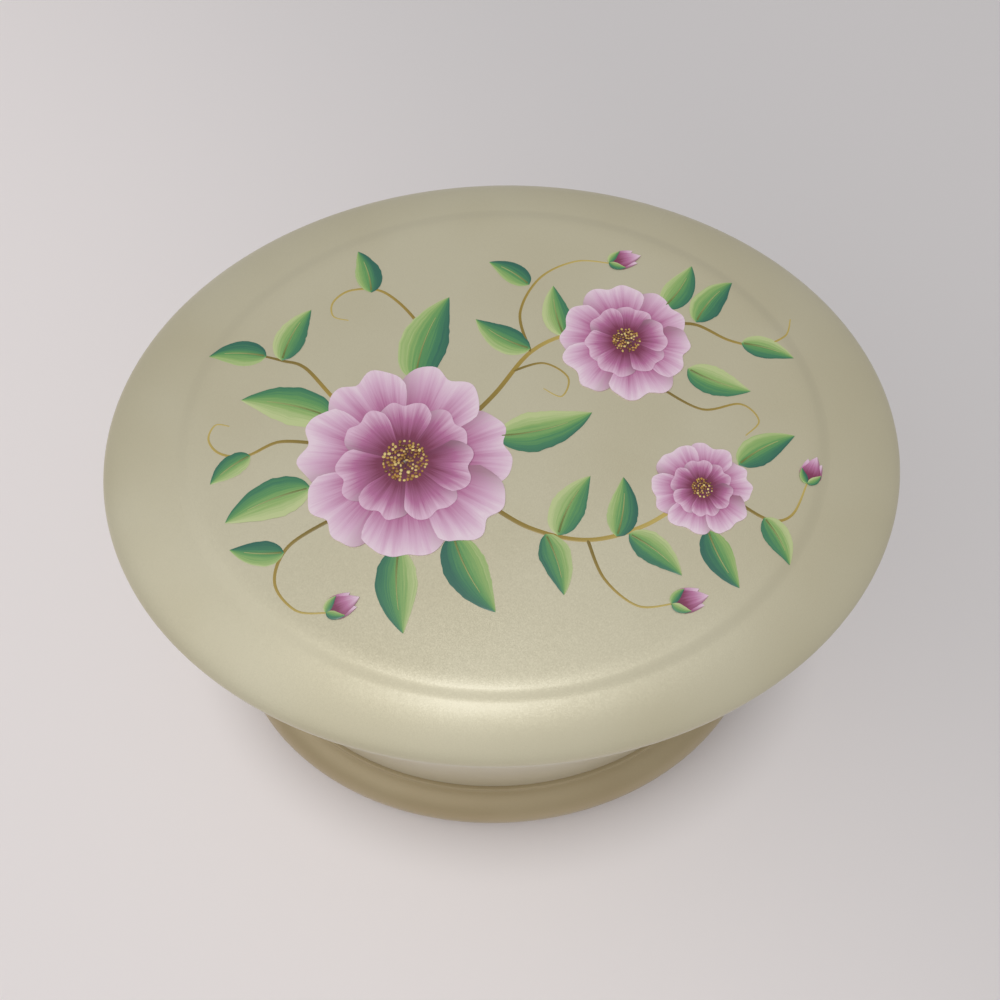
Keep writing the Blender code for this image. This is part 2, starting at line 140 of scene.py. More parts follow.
def out(tree, kind, socket=0, inputs=None, **settings):
    """Add a node and hand back one of its outputs."""
    return add(tree, kind, inputs, **settings).outputs[socket]


def maths(tree, operation, *values):
    """The result of a Math node."""
    return out(tree, "ShaderNodeMath", 0, dict(enumerate(values)), operation=operation)


def vector(tree, operation, *values):
    """The result of a Vector Math node. SCALE takes a number second, and a dot product is a number."""
    sockets = (0, "Scale") if operation == "SCALE" else (0, 1)
    result = "Value" if operation == "DOT_PRODUCT" else 0
    return out(tree, "ShaderNodeVectorMath", result, dict(zip(sockets, values)), operation=operation)


def ranged(tree, value, start, end, to_start=0.0, to_end=1.0, **settings):
    """A value moved from one range to another."""
    inputs = {"Value": value, "From Min": start, "From Max": end, "To Min": to_start, "To Max": to_end}
    return out(tree, "ShaderNodeMapRange", "Result", inputs, **settings)


def noisy(tree, place, size, detail, **values):
    """Noise whose features are about one size across."""
    inputs = {"Vector": place, "Scale": 1 / size, "Detail": detail}
    return out(tree, "ShaderNodeTexNoise", "Fac", inputs | values)


def cells(tree, place, size):
    """The distance and the colour of a Voronoi pattern's cells."""
    return add(tree, "ShaderNodeTexVoronoi", {"Vector": place, "Scale": 1 / size}).outputs


def ramp(tree, value, stops):
    """A colour read off a ramp, whose stops are each a place and an sRGB hex colour."""
    node = add(tree, "ShaderNodeValToRGB", {"Fac": value})
    elements = node.color_ramp.elements
    while len(elements) < len(stops):
        elements.new(0.5)
    for element, (place, colour) in zip(elements, stops):
        element.position = place
        element.color = linear(colour)
    return node.outputs["Color"]


def mixed(tree, share, colour, other):
    """A share of the way from one colour to another."""
    return out(tree, "ShaderNodeMix", 2, {"Factor": share, 6: colour, 7: other}, data_type="RGBA")


def bumped(tree, height, strength, depth):
    """A normal that follows a height."""
    return out(tree, "ShaderNodeBump", "Normal", {"Height": height, "Strength": strength, "Distance": depth})


def new_finish(name, **values):
    """A new material with its shader's constant values: itself, its tree and the object's coordinates."""
    made = bpy.data.materials.new(name)
    made.use_nodes = True
    tree = made.node_tree
    for socket, value in values.items():
        tree.nodes["Principled BSDF"].inputs[socket.replace("_", " ")].default_value = value
    return made, tree, out(tree, "ShaderNodeTexCoord", "Object")


def wired(made, **sockets):
    """Link outputs to a material's shader, and hand the material back."""
    shader = made.node_tree.nodes["Principled BSDF"]
    for socket, value in sockets.items():
        made.node_tree.links.new(value, shader.inputs[socket.replace("_", " ")])
    return made


# %% [markdown]
# ## The pearl lacquer
#
# Pearlescent furniture lacquer is a champagne base with tiny mica flakes, sprayed on sealed wood and
# covered with a satin clear coat. The eye gets three things from it: a soft broad highlight, a grain of
# sparkle inside the highlight, and the faint dimpled skin that sprayed coats dry with. Each flake is a
# cell of a Voronoi pattern that leans its own way. Real flakes are about 0.05 mm across, too fine for
# this view, so they are drawn four times as coarse. The walls and the base carry the same lacquer in two
# more tones, which are painted light: the base darker and browner as painted shade under the lid, the
# walls paler and pinker as a painted reflection of the pale table. Here and there a speck of dust has
# dried into it. A relief is a bump's strength and depth.

# %% Make the pearl lacquer
FLAKE = 0.2 * MM
FLAKE_TONES = (0.985, 1.015)
FLAKE_LEAN = 0.07
COAT_LEAN = 0.04
SPRAY_DIMPLE = 2.4 * MM
DIMPLE_RELIEF = (0.05, 0.2 * MM)
CLOUD = 45 * MM
DUST_SPACING = 19 * MM
DUST_SIZE_SHARE = 0.017
CLEAN_SHARE = 0.45
DUST = "7A6F55"


def pearl_lacquer(name, dark, light):
    """Sprayed pearl lacquer in a tone that drifts between two colours."""
    made, tree, place = new_finish(
        name, Metallic=0.26, Roughness=0.42, Specular_IOR_Level=0.5, Coat_Weight=0.4, Coat_Roughness=0.27)
    tone = ramp(tree, noisy(tree, place, CLOUD, 2.0), [(0.35, dark), (0.65, light)])
    flakes = cells(tree, place, FLAKE)["Color"]
    spark = out(tree, "ShaderNodeSeparateColor", "Red", {"Color": flakes})
    sparkled = vector(tree, "SCALE", tone, ranged(tree, spark, 0.0, 1.0, *FLAKE_TONES))
    grains = cells(tree, place, DUST_SPACING)
    near = maths(tree, "LESS_THAN", grains["Distance"], DUST_SIZE_SHARE)
    chance = out(tree, "ShaderNodeSeparateColor", "Blue", {"Color": grains["Color"]})
    dust = maths(tree, "MULTIPLY", near, maths(tree, "GREATER_THAN", chance, CLEAN_SHARE))
    skin = bumped(tree, noisy(tree, place, SPRAY_DIMPLE, 1.0), *DIMPLE_RELIEF)
    lean = vector(tree, "SUBTRACT", flakes, (0.5, 0.5, 0.5))
    leaning, smoother = [
        vector(tree, "NORMALIZE", vector(tree, "ADD", skin, vector(tree, "SCALE", lean, share)))
        for share in (FLAKE_LEAN, COAT_LEAN)]
    return wired(
        made, Base_Color=mixed(tree, dust, sparkled, linear(DUST)), Normal=leaning, Coat_Normal=smoother)


PEARL = pearl_lacquer("pearl_lacquer", "C4BC9F", "CAC3A8")
# The base's darker, browner tone is painted shade: the lid's lacquer, darkened where the lid shades it.
BASE_PEARL_PAINTED_SHADE = pearl_lacquer("base_pearl_lacquer", "AB9974", "B09F7B")
# The walls' paler, pinker tone is a painted reflection: the pale table's light on the lid's lacquer.
WALL_PEARL_PAINTED_REFLECTION = pearl_lacquer("wall_pearl_lacquer", "C9C0A6", "CFC7AF")
print("Made three tones of pearl lacquer")

# %% [markdown]
# ## The brush paints
#
# The flowers are acrylic craft paint put on with a flat brush that carries two colours at once. The
# bristles leave fine streaks along each stroke, and the two colours blend across it or along it. So
# each stroke of the design carries three values on its own mesh: how far along it is, how far across,
# and a number of its own, and the paints read those.

# %% Make the brush paints
BRISTLES_ACROSS = 9.0
BRISTLES_ALONG = 0.9
STROKE_SHIFT = 40.0
BRISTLE_RELIEF = (0.25, 0.08 * MM)
STREAK_ROUGHNESS = 0.7
STREAK_RANGE = (0.25, 0.75)
SIDE_RANGE = (0.35, 1.05, 0.0, 0.75)


def brush_paint(name, read_along, streak, vary, stops, side_colour=None):
    """Acrylic paint: a ramp along or across the stroke, broken up by streaks and varied between strokes."""
    made, tree, _ = new_finish(name, Roughness=0.44, Coat_Weight=0.3, Coat_Roughness=0.22)
    along, across, own = [
        out(tree, "ShaderNodeAttribute", "Fac", attribute_name=key) for key in ("along", "across", "stroke")]
    spreads = ((across, BRISTLES_ACROSS), (along, BRISTLES_ALONG), (own, STROKE_SHIFT))
    spot = [maths(tree, "MULTIPLY", value, spread) for value, spread in spreads]
    bristles = out(tree, "ShaderNodeCombineXYZ", 0, dict(zip("XYZ", spot)))
    streaks = noisy(tree, bristles, 1.0, 5.0, Roughness=STREAK_ROUGHNESS)
    shaken = ranged(tree, streaks, *STREAK_RANGE, -streak, streak)
    read = along if read_along else ranged(tree, across, -1.0, 1.0)
    broken = maths(tree, "ADD", read, shaken)
    colour = ramp(tree, maths(tree, "ADD", broken, ranged(tree, own, 0.0, 1.0, -vary, vary)), stops)
    if side_colour:
        leaned = maths(tree, "ADD", across, shaken)
        edge = ranged(tree, leaned, *SIDE_RANGE, interpolation_type="SMOOTHSTEP")
        colour = mixed(tree, edge, colour, linear(side_colour))
    return wired(made, Base_Color=colour, Normal=bumped(tree, streaks, *BRISTLE_RELIEF))


PETAL_PAINT = brush_paint(
    "petal_paint", True, 0.11, 0.03,
    [(0.05, "63223A"), (0.34, "86345A"), (0.6, "BB759F"), (0.82, "D9AFCA"), (1.0, "EAD3E0")], "86345A")
HEART_PAINT = brush_paint(
    "inner_petal_paint", True, 0.12, 0.03,
    [(0.0, "541C30"), (0.4, "7C2C50"), (0.72, "B56B98"), (1.0, "E0BBD2")], "6E2947")
LEAF_PAINT = brush_paint(
    "leaf_paint", False, 0.17, 0.16,
    [(0.0, "BFCB90"), (0.27, "92B368"), (0.52, "629B57"), (0.76, "3D8058"), (1.0, "266755")])
VINE_PAINT = brush_paint(
    "vine_paint", True, 0.25, 0.1, [(0.1, "7E6A24"), (0.5, "A48A38"), (0.9, "C2AC5C")])
VEIN_PAINT = brush_paint("vein_paint", True, 0.2, 0.1, [(0.1, "6F7C3A"), (0.9, "A7B070")])
POLLEN_PAINT = brush_paint(
    "pollen_paint", True, 0.2, 0.0, [(0.0, "7A4E1E"), (0.5, "B98A35"), (1.0, "E6CF84")])
print("Made six brush paints")

# %% [markdown]
# ## Felt and velvet
#
# The hollows are lined with wool felt, a mat of short tangled fibres with no weave. The dividers and
# the ring rolls are covered with short-pile velvet, whose fibres all stand up: it is dark seen from
# above and light at its edges, and it shows patches where the pile leans another way.

# %% Make the linings' cloths
FELT_FIBRE = 0.35 * MM
FELT_PATCH = 9 * MM
FELT_RELIEF = (0.6, 0.3 * MM)
PILE = 0.25 * MM
PILE_PATCH = 7 * MM
PILE_RELIEF = (0.6, 0.2 * MM)
FIBRE_ROUGHNESS = 0.7


def shaded(made, tree, tone, stops, height, relief):
    """Colour a material by one pattern and raise its skin by another or the same."""
    return wired(made, Base_Color=ramp(tree, tone, stops), Normal=bumped(tree, height, *relief))


def cloth(name, dark, light, fibre, patch, relief, **values):
    """Fibres make the small relief, and patches of lie or thickness shift the tone."""
    made, tree, place = new_finish(name, Roughness=0.92, **values)
    fibres = noisy(tree, place, fibre, 5.0, Roughness=FIBRE_ROUGHNESS)
    both = maths(tree, "ADD", noisy(tree, place, patch, 3.0), fibres)
    half = maths(tree, "MULTIPLY", both, 0.5)
    return shaded(made, tree, half, [(0.3, dark), (0.7, light)], fibres, relief)


FELT = cloth(
    "wool_felt", "7B4F5E", "9C6F7F", FELT_FIBRE, FELT_PATCH, FELT_RELIEF,
    Sheen_Weight=0.2, Sheen_Tint=linear("E0B8C8"))
VELVET = cloth(
    "short_pile_velvet", "7F5263", "A3788A", PILE, PILE_PATCH, PILE_RELIEF,
    Sheen_Weight=0.5, Sheen_Tint=linear("D79FB8"))
print("Made the felt and the velvet")

# %% [markdown]
# ## Plywood, metals, nylon and rubber
#
# The tray floors are thin birch plywood, whose grain runs along the box. The screw and its washers are
# zinc-plated steel, dull with a fine cast of crystals. The sleeves and the insert are brass turned on a
# lathe, so fine rings run round the screw's line. The glide washers are natural nylon, and the pads
# are foam rubber with open pores.

# %% Make the small parts' finishes
GRAIN_WIDTH = 0.9 * MM
GRAIN_STRETCH = 14.0
GRAIN_WAVER = 0.6
GRAIN_RELIEF = (0.3, 0.05 * MM)
TOOL_MARK = 0.15 * MM
TOOL_CHATTER = 1.5
CRYSTAL = 0.4 * MM
METAL_RELIEF = (0.15, 0.03 * MM)
NYLON_MOTTLE = 1.2 * MM
NYLON_RELIEF = (0.4, 0.02 * MM)
PORE = 0.5 * MM
PORE_RELIEF = (0.4, 0.2 * MM)


def birch_plywood():
    """Thin veneer with its grain along the box."""
    made, tree, place = new_finish("birch_plywood", Roughness=0.62)
    stretch = (1 / (GRAIN_WIDTH * GRAIN_STRETCH), 1 / GRAIN_WIDTH, 1 / GRAIN_WIDTH)
    stretched = out(tree, "ShaderNodeMapping", 0, {"Vector": place, "Scale": stretch})
    grain = noisy(tree, stretched, 1.0, 4.0, Distortion=GRAIN_WAVER)
    stops = [(0.3, "B9976A"), (0.5, "CFB287"), (0.72, "DCC39C")]
    return shaded(made, tree, grain, stops, grain, GRAIN_RELIEF)


def metal(name, dark, light, size, turned):
    """Turned metal carries rings about the screw's line; plated metal carries fine crystals."""
    made, tree, place = new_finish(name, Metallic=1.0, Roughness=0.34)
    centred = out(tree, "ShaderNodeMapping", 0, {"Vector": place, "Location": (-PIVOT.x, -PIVOT.y, 0.0)})
    if turned:
        inputs = {"Vector": centred, "Scale": 1 / size, "Distortion": TOOL_CHATTER}
        mark = out(tree, "ShaderNodeTexWave", "Fac", inputs, wave_type="RINGS", rings_direction="Z")
    else:
        mark = noisy(tree, centred, size, 4.0)
    return shaded(made, tree, mark, [(0.2, dark), (0.8, light)], mark, METAL_RELIEF)


def plain_moulded(name, dark, light, size, relief, **values):
    """Moulded or foamed stock: a fine mottled skin."""
    made, tree, place = new_finish(name, **values)
    mottle = cells(tree, place, size)["Distance"]
    return shaded(made, tree, mottle, [(0.1, dark), (0.6, light)], mottle, relief)


PLYWOOD = birch_plywood()
ZINC = metal("zinc_plated_steel", "9EA1A6", "B7BABD", CRYSTAL, False)
BRASS = metal("turned_brass", "B08B45", "C9A661", TOOL_MARK, True)
NYLON = plain_moulded(
    "natural_nylon", "DAD6C8", "E9E6DB", NYLON_MOTTLE, NYLON_RELIEF, Roughness=0.45, Subsurface_Weight=0.1)
RUBBER = plain_moulded("foam_rubber", "1F1D1B", "45413D", PORE, PORE_RELIEF, Roughness=0.9)
print("Made plywood, zinc, brass, nylon and rubber")

# %% [markdown]
# ## Dressing a node
#
# Each finished piece is a plain mesh at the origin. It takes its material, stands for one of the
# imported solids, and rides on that solid's body.

# %% Helpers that place a finished piece
NODES_OF_BODY = frame["record"]["behaviour"]["bodies"]
BODY_OF_NODE = {node: body for body, nodes in NODES_OF_BODY.items() for node in nodes}
SHARP = math.radians(35)


def object_with(name, mesh):
    """Link a mesh to the scene as an object at the origin."""
    made = bpy.data.objects.new(name, mesh)
    bpy.context.scene.collection.objects.link(made)
    return made


def settled(host, name):
    """Keep what an object's modifiers show as a plain mesh, and remove the object."""
    bpy.context.view_layer.update()
    shown = host.evaluated_get(bpy.context.evaluated_depsgraph_get())
    mesh = bpy.data.meshes.new_from_object(
        shown, preserve_all_data_layers=True, depsgraph=bpy.context.evaluated_depsgraph_get())
    bpy.data.objects.remove(host)
    return object_with(name, mesh)


def dress(piece, finish, node=None, body=None):
    """Smooth and paint a finished piece, and tie it to its solid's body."""
    shape = bmesh.new()
    shape.from_mesh(piece.data)
    if shape.calc_volume(signed=True) < 0:
        bmesh.ops.reverse_faces(shape, faces=shape.faces)
    shape.to_mesh(piece.data)
    shape.free()
    piece.data.materials.clear()
    piece.data.materials.append(finish)
    piece.data.shade_smooth()
    piece.data.set_sharp_from_angle(angle=SHARP)
    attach(piece, body or BODY_OF_NODE[node])
    if node:
        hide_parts(node)
    return piece


def edge_path(name, points, closed=False):
    """An object made of a chain of edges, which Geometry Nodes read as a line."""
    mesh = bpy.data.meshes.new(name)
    links = [(i, i + 1) for i in range(len(points) - 1)]
    if closed:
        links.append((len(points) - 1, 0))
    mesh.from_pydata(points, links, [])
    return object_with(name, mesh)


def cut_away(piece, cutter):
    """Take a cutter's shape out of a piece for good, and remove the cutter."""
    step = piece.modifiers.new("cut", "BOOLEAN")
    step.operation = "DIFFERENCE"
    step.object = cutter
    name = piece.name
    done = settled(piece, name + "_cut")
    bpy.data.objects.remove(cutter)
    done.name = name
    return done


# %% [markdown]
# ## A profile swept round an oval
#
# A router with a moulding bit runs round an oval template, so the same profile goes all the way round.
# Two circles and a stretched profile would pinch at the ends, so the tree below does what the router
# does: each profile point knows how far it lies inside the oval at the ends and at the sides, and how
# high it is. The tree sweeps it round, and the poles close by merging. A turned ring is the same thing
# with a round oval, so the screw, sleeves, washers and pads use it too.

# %% Build the sweeping tree
MERGE_REACH = 0.001 * MM
UP = (0.0, 0.0, 1.0)


def new_tree(name, **kinds):
    """A Geometry Nodes tree with named inputs: the tree and those inputs' sockets."""
    tree = bpy.data.node_groups.new(name, "GeometryNodeTree")
    for key, kind in kinds.items():
        tree.interface.new_socket(
            key.replace("_", " "), in_out="INPUT", socket_type="NodeSocket" + kind)
    tree.interface.new_socket("Geometry", in_out="OUTPUT", socket_type="NodeSocketGeometry")
    return tree, add(tree, "NodeGroupInput").outputs


def captured(tree, geometry, **fields):
    """Hold values on a geometry's points: each field is a kind and a value."""
    held_values = add(tree, "GeometryNodeCaptureAttribute", {"Geometry": geometry})
    for key, (kind, value) in fields.items():
        held_values.capture_items.new(kind, key)
        tree.links.new(value, held_values.inputs[key])
    return held_values.outputs


def stored(tree, geometry, key, value):
    """Write a number on a geometry's points under a name, for a paint to read."""
    return out(
        tree, "GeometryNodeStoreNamedAttribute", 0, {"Geometry": geometry, "Name": key, "Value": value},
        data_type="FLOAT", domain="POINT")


def swept_along(tree, path, mark, caps):
    """Carry a mark's outline along a path."""
    inputs = {"Curve": path["Geometry"], "Profile Curve": mark["Geometry"], "Fill Caps": caps}
    return out(tree, "GeometryNodeCurveToMesh", "Mesh", inputs)


def unit_circle(tree, sides):
    """A circle with a radius of one, for a path or a mark."""
    return out(tree, "GeometryNodeCurvePrimitiveCircle", "Curve", {"Resolution": sides, "Radius": 1.0})


def ended(tree, geometry, finish):
    """End a tree with real geometry in its material."""
    real = out(tree, "GeometryNodeRealizeInstances", 0, {"Geometry": geometry})
    painted = out(tree, "GeometryNodeSetMaterial", 0, {"Geometry": real, "Material": finish})
    add(tree, "NodeGroupOutput", {"Geometry": painted})
    return tree


def oval_sweep_tree():
    """Sweep a profile of insets and heights round an oval."""
    tree, given = new_tree(
        "oval_sweep", Profile="Object", Half_Length="Float", Half_Width="Float", Centre="Vector",
        Sides="Int", Finish="Material")
    place = out(tree, "GeometryNodeInputPosition")
    drawn = out(tree, "GeometryNodeObjectInfo", "Geometry", {"Object": given["Profile"]})
    line = out(tree, "GeometryNodeMeshToCurve", 0, {"Mesh": drawn})
    profile = captured(tree, line, inset=("VECTOR", place))
    path = captured(tree, unit_circle(tree, given["Sides"]), turn=("VECTOR", place))
    swept_round = swept_along(tree, path, profile, False)
    half = out(tree, "ShaderNodeCombineXYZ", 0, {"X": given["Half Length"], "Y": given["Half Width"]})
    reach = vector(tree, "SUBTRACT", half, profile["inset"])
    level = vector(tree, "MULTIPLY", reach, path["turn"])
    raised = vector(tree, "ADD", level, vector(tree, "MULTIPLY", profile["inset"], UP))
    spot = vector(tree, "ADD", raised, given["Centre"])
    moved = out(tree, "GeometryNodeSetPosition", 0, {"Geometry": swept_round, "Position": spot})
    closed = out(tree, "GeometryNodeMergeByDistance", 0, {"Geometry": moved, "Distance": MERGE_REACH})
    return ended(tree, closed, given["Finish"])


def run_tree(host, tree, values):
    """Put a node tree on an object, with its inputs set by their identifiers."""
    step = host.modifiers.new(tree.name, "NODES")
    step.node_group = tree
    for socket in tree.interface.items_tree:
        if socket.in_out == "INPUT" and socket.name in values:
            step[socket.identifier] = values[socket.name]


OVAL_SWEEP = oval_sweep_tree()


def swept(name, points, half_length, half_width, centre, sides, finish=None, closed=False):
    """Sweep a profile round an oval and keep the plain mesh."""
    profile = edge_path(name + "_profile", points, closed)
    host = object_with(name + "_host", bpy.data.meshes.new(name + "_host"))
    run_tree(host, OVAL_SWEEP, {
        "Profile": profile, "Half Length": half_length, "Half Width": half_width,
        "Centre": centre, "Sides": sides, "Finish": finish})
    made = settled(host, name)
    bpy.data.objects.remove(profile)
    return made


print("The sweeping tree has", len(OVAL_SWEEP.nodes), "nodes")

# %% [markdown]
# ## The lid and the base
#
# Both boards are cut with the same set of bits: a bullnose under the rim, a long flat round-over above
# it, and a small soft step up to the flat field. The step is what catches the bright line along the
# field's near edge, so it is a smooth S and not a sharp corner. Many thin slices keep the highlight even.

# %% Make the two moulded boards
BOARD_SIDES = 320
CUTTER_SIDES = 64
ROUND_SLICES = 26
UNDER_SLICES = 10
STEP_SLICES = 14
EASE_SLICES = 10
FIELD_MARGIN = 0.6 * MM
INSERT_HOLE = 5.6 * MM
INSERT_DEPTH = 10.6 * MM
COUNTERBORE = 10.5 * MM
SCREW_HOLE = 3.3 * MM
OVERRUN = 2 * MM

LID_MOULD = (19.2 * MM, 12.7 * MM)
LID_FALL = 1.35 * MM
LID_STEP = (0.90 * MM, 3.6 * MM)
LID_EASE = (0.13 * MM, 4.2 * MM)
LID_UNDERCUT = 6 * MM
BASE_RIM_HEIGHT = 9 * MM
BASE_MOULD = (9 * MM, 9 * MM)
BASE_FALL = 0.5 * MM
BASE_STEP = (0.6 * MM, 0.6 * MM)
BASE_EASE = (0.05 * MM, 0.6 * MM)
BASE_UNDERCUT = 5 * MM


def quarter(slices):
    """The angles of a quarter turn, evenly spaced."""
    return [math.pi / 2 * i / slices for i in range(slices + 1)]


def rounding(size, slices):
    """The two shares of a rounded edge, slice by slice: what shrinks to nothing and what grows."""
    return [(size * (1 - math.sin(turn)), size * (1 - math.cos(turn))) for turn in quarter(slices)]


def board_profile(low, high, rim, mould, fall, step, ease, undercut):
    """The moulding from the pole underneath to the pole on top: insets at ends and sides, and height."""
    rise, run = step
    ease_drop, ease_run = ease
    half = (high - low) / 2
    round_height = high.z - low.z - rim - rise - fall
    points = [(half.x, half.y, low.z), (undercut + FIELD_MARGIN, undercut + FIELD_MARGIN, low.z)]
    for left, grown in rounding(1, UNDER_SLICES):
        points.append((undercut * left, undercut * left, low.z + rim * grown))
    for turn in quarter(ROUND_SLICES)[1:]:
        share = 1 - math.cos(turn)
        height = low.z + rim + round_height * math.sin(turn) + fall * share
        points.append((share * mould[0], share * mould[1], height))
    foot_slope = fall / mould[1] * run
    head_slope = 3 * ease_drop / ease_run * run
    upper = []
    for i in range(1, STEP_SLICES + 1):
        share = i / STEP_SLICES
        climb = (rise - ease_drop) * share ** 2 * (3 - 2 * share)
        climb += foot_slope * share * (1 - share) ** 2 - head_slope * share ** 2 * (1 - share)
        upper.append((run * share, high.z - rise + climb))
    for i in range(1, EASE_SLICES + 1):
        left = 1 - i / EASE_SLICES
        upper.append((run + ease_run * (1 - left), high.z - ease_drop * left ** 3))
    upper.append((run + ease_run + FIELD_MARGIN, high.z))
    points += [(mould[0] + inset, mould[1] + inset, height) for inset, height in upper]
    points.append((half.x, half.y, high.z))
    return points


def board(name, low, high, *moulding):
    """Sweep one board in the box of its solid."""
    half = (high - low) / 2
    profile = board_profile(low, high, *moulding)
    return swept(name, profile, half.x, half.y, (0.0, 0.0, 0.0), BOARD_SIDES, PEARL)


def rod_profile(radius, low, high):
    """A plain rod from pole to pole, as insets and heights."""
    return [(radius, radius, low), (0.0, 0.0, low), (0.0, 0.0, high), (radius, radius, high)]


def drilled(piece, radius, low, high, sides=CUTTER_SIDES):
    """Drill a piece on the screw's line."""
    centre = (PIVOT.x, PIVOT.y, 0.0)
    return cut_away(piece, swept("cutter", rod_profile(radius, low, high), radius, radius, centre, sides))


lid = board(
    "moulded_lid", LID_LOW, LID_HIGH, RIM_HEIGHT, LID_MOULD, LID_FALL, LID_STEP, LID_EASE, LID_UNDERCUT)
lid = dress(drilled(lid, INSERT_HOLE, LID_LOW.z - OVERRUN, LID_LOW.z + INSERT_DEPTH), PEARL, "lid_board")

base = board(
    "moulded_base", BASE_LOW, BASE_HIGH, BASE_RIM_HEIGHT, BASE_MOULD, BASE_FALL, BASE_STEP, BASE_EASE,
    BASE_UNDERCUT)
base = drilled(base, COUNTERBORE, BASE_LOW.z - OVERRUN, BASE_LOW.z + COUNTERBORE)
# The base takes the lacquer's darker tone, which is painted shade under the lid.
base = dress(drilled(base, SCREW_HOLE, BASE_LOW.z, BASE_HIGH.z + OVERRUN), BASE_PEARL_PAINTED_SHADE, "base_board")
print("Lid:", len(lid.data.polygons), "faces; base:", len(base.data.polygons), "faces")

# %% [markdown]
# ## The tiers
#
# Each tier is routed from one oval block. The router leaves a round-nosed boss standing where the
# screw goes through, and a shallow rebate underneath that takes the tray's floor. Here the outer
# oval and the hollow have the same number of points, so one closed loop of slices, up the outside, over
# the top and down the inside, gives the wall with its sanded edges and no boolean.

# %% Make the tier walls
HOLLOW_SIDES = 150
CORNER_SIDES = 8
BOSS_SIDES = 36
EDGE_SLICES = 4
HOLLOW_CORNER = 4 * MM
OUTER_ROUND = 1.0 * MM
INNER_ROUND = 0.7 * MM
BORE = 5.1 * MM
GLIDE_RECESS = 10.3 * MM
GLIDE_RECESS_DEPTH = 1.1 * MM
BORE_OVERLAP = 0.5 * MM
FLOOR_THICKNESS = 3 * MM


def hollow_outline(inset):
    """The hollow's plan, drawn in by an inset, and the outer oval's angle that goes with each point."""
    half_length = TIER_HALF.x - WALL - inset
    half_width = TIER_HALF.y - WALL - inset
    boss = BOSS_RADIUS + inset
    corner = Vector((half_length * math.sqrt(1 - (boss / half_width) ** 2), -boss))
    start = math.asin((boss + HOLLOW_CORNER) / half_width)
    around = [start + (2 * math.pi - 2 * start) * i / HOLLOW_SIDES for i in range(HOLLOW_SIDES + 1)]
    points = [Vector((half_length * math.cos(a), half_width * math.sin(a))) for a in around]
    on_oval = points[-1]
    on_boss = corner - Vector((HOLLOW_CORNER, 0))
    bend = []
    for i in range(1, CORNER_SIDES + 1):
        t = i / CORNER_SIDES
        bend.append(on_oval * (1 - t) ** 2 + corner * 2 * t * (1 - t) + on_boss * t ** 2)
    nose = []
    for i in range(BOSS_SIDES + 1):
        turn = math.pi * (1.5 - i / BOSS_SIDES)
        nose.append(PIVOT + boss * Vector((math.cos(turn), math.sin(turn))))
    inward = bend + nose + [Vector((p.x, -p.y)) for p in reversed(bend)]
    angles = around + [around[-1] + 2 * start * (i + 1) / (len(inward) + 1) for i in range(len(inward))]
    return points + inward, angles


def closed_loft(name, rings, capped):
    """A closed mesh through rings of equally many points: capped at both ends, or joined into a loop."""
    shape = bmesh.new()
    loops = [[shape.verts.new(point) for point in ring] for ring in rings]
    pairs = list(zip(loops, loops[1:]))
    if not capped:
        pairs.append((loops[-1], loops[0]))
    for lower, upper in pairs:
        for i in range(len(lower)):
            j = (i + 1) % len(lower)
            shape.faces.new((lower[i], lower[j], upper[j], upper[i]))
    if capped:
        shape.faces.new(reversed(loops[0]))
        shape.faces.new(loops[-1])
    return meshed(name, shape)


def meshed(name, shape):
    """Turn a working shape's faces outwards and keep it as an object."""
    bmesh.ops.recalc_face_normals(shape, faces=shape.faces)
    mesh = bpy.data.meshes.new(name)
    shape.to_mesh(mesh)
    shape.free()
    return object_with(name, mesh)


def hollow_ring(inset, height):
    """One level ring of the hollow."""
    return [Vector((p.x, p.y, height)) for p in hollow_outline(inset)[0]]


def tier_wall(name, node, rebate_depth):
    """One tier: outer oval, sanded edges, hollow, boss, and the rebate where it has one."""
    low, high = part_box(node)
    angles = hollow_outline(0.0)[1]
    outside = rounding(OUTER_ROUND, EDGE_SLICES)
    loops = []
    for inset, height in (
            [(left, low.z + grown) for left, grown in outside]
            + [(grown, high.z - left) for left, grown in outside]):
        long, wide = TIER_HALF.x - inset, TIER_HALF.y - inset
        loops.append([Vector((long * math.cos(a), wide * math.sin(a), height)) for a in angles])
    loops += [hollow_ring(-left, high.z - grown) for left, grown in rounding(INNER_ROUND, EDGE_SLICES)]
    loops.append(hollow_ring(0.0, low.z + rebate_depth))
    if rebate_depth:
        loops.append(hollow_ring(-REBATE, low.z + rebate_depth))
        loops.append(hollow_ring(-REBATE, low.z))
    recess = high.z - GLIDE_RECESS_DEPTH
    wall = drilled(closed_loft(name, loops, False), BORE, low.z - OVERRUN, recess + BORE_OVERLAP)
    # The walls take the lacquer's paler, pinker tone, which is a painted reflection of the pale table.
    return dress(drilled(wall, GLIDE_RECESS, recess, high.z + OVERRUN), WALL_PEARL_PAINTED_REFLECTION, node)


tier_wall("bottom_case_wall", "bottom_case_frame", 0.0)
tier_wall("middle_tray_wall", "middle_tray_frame", FLOOR_THICKNESS + GAP)
tier_wall("top_tray_wall", "top_tray_frame", FLOOR_THICKNESS + GAP)
print("A tier's slices have", len(hollow_outline(0.0)[0]), "points each")

# %% [markdown]
# ## Floors and felt
#
# The plywood floors sit in the rebates. The felt floor is a sheet cut to the hollow with scissors, so
# its edge is soft, and the wall strip is one long band glued round the hollow and the boss, its two
# ends meeting. Both are cloth laid flat.

# %% Make the floors and the felt linings
FELT_THICKNESS = 1.0 * MM
FELT_ROUND = 0.35 * MM


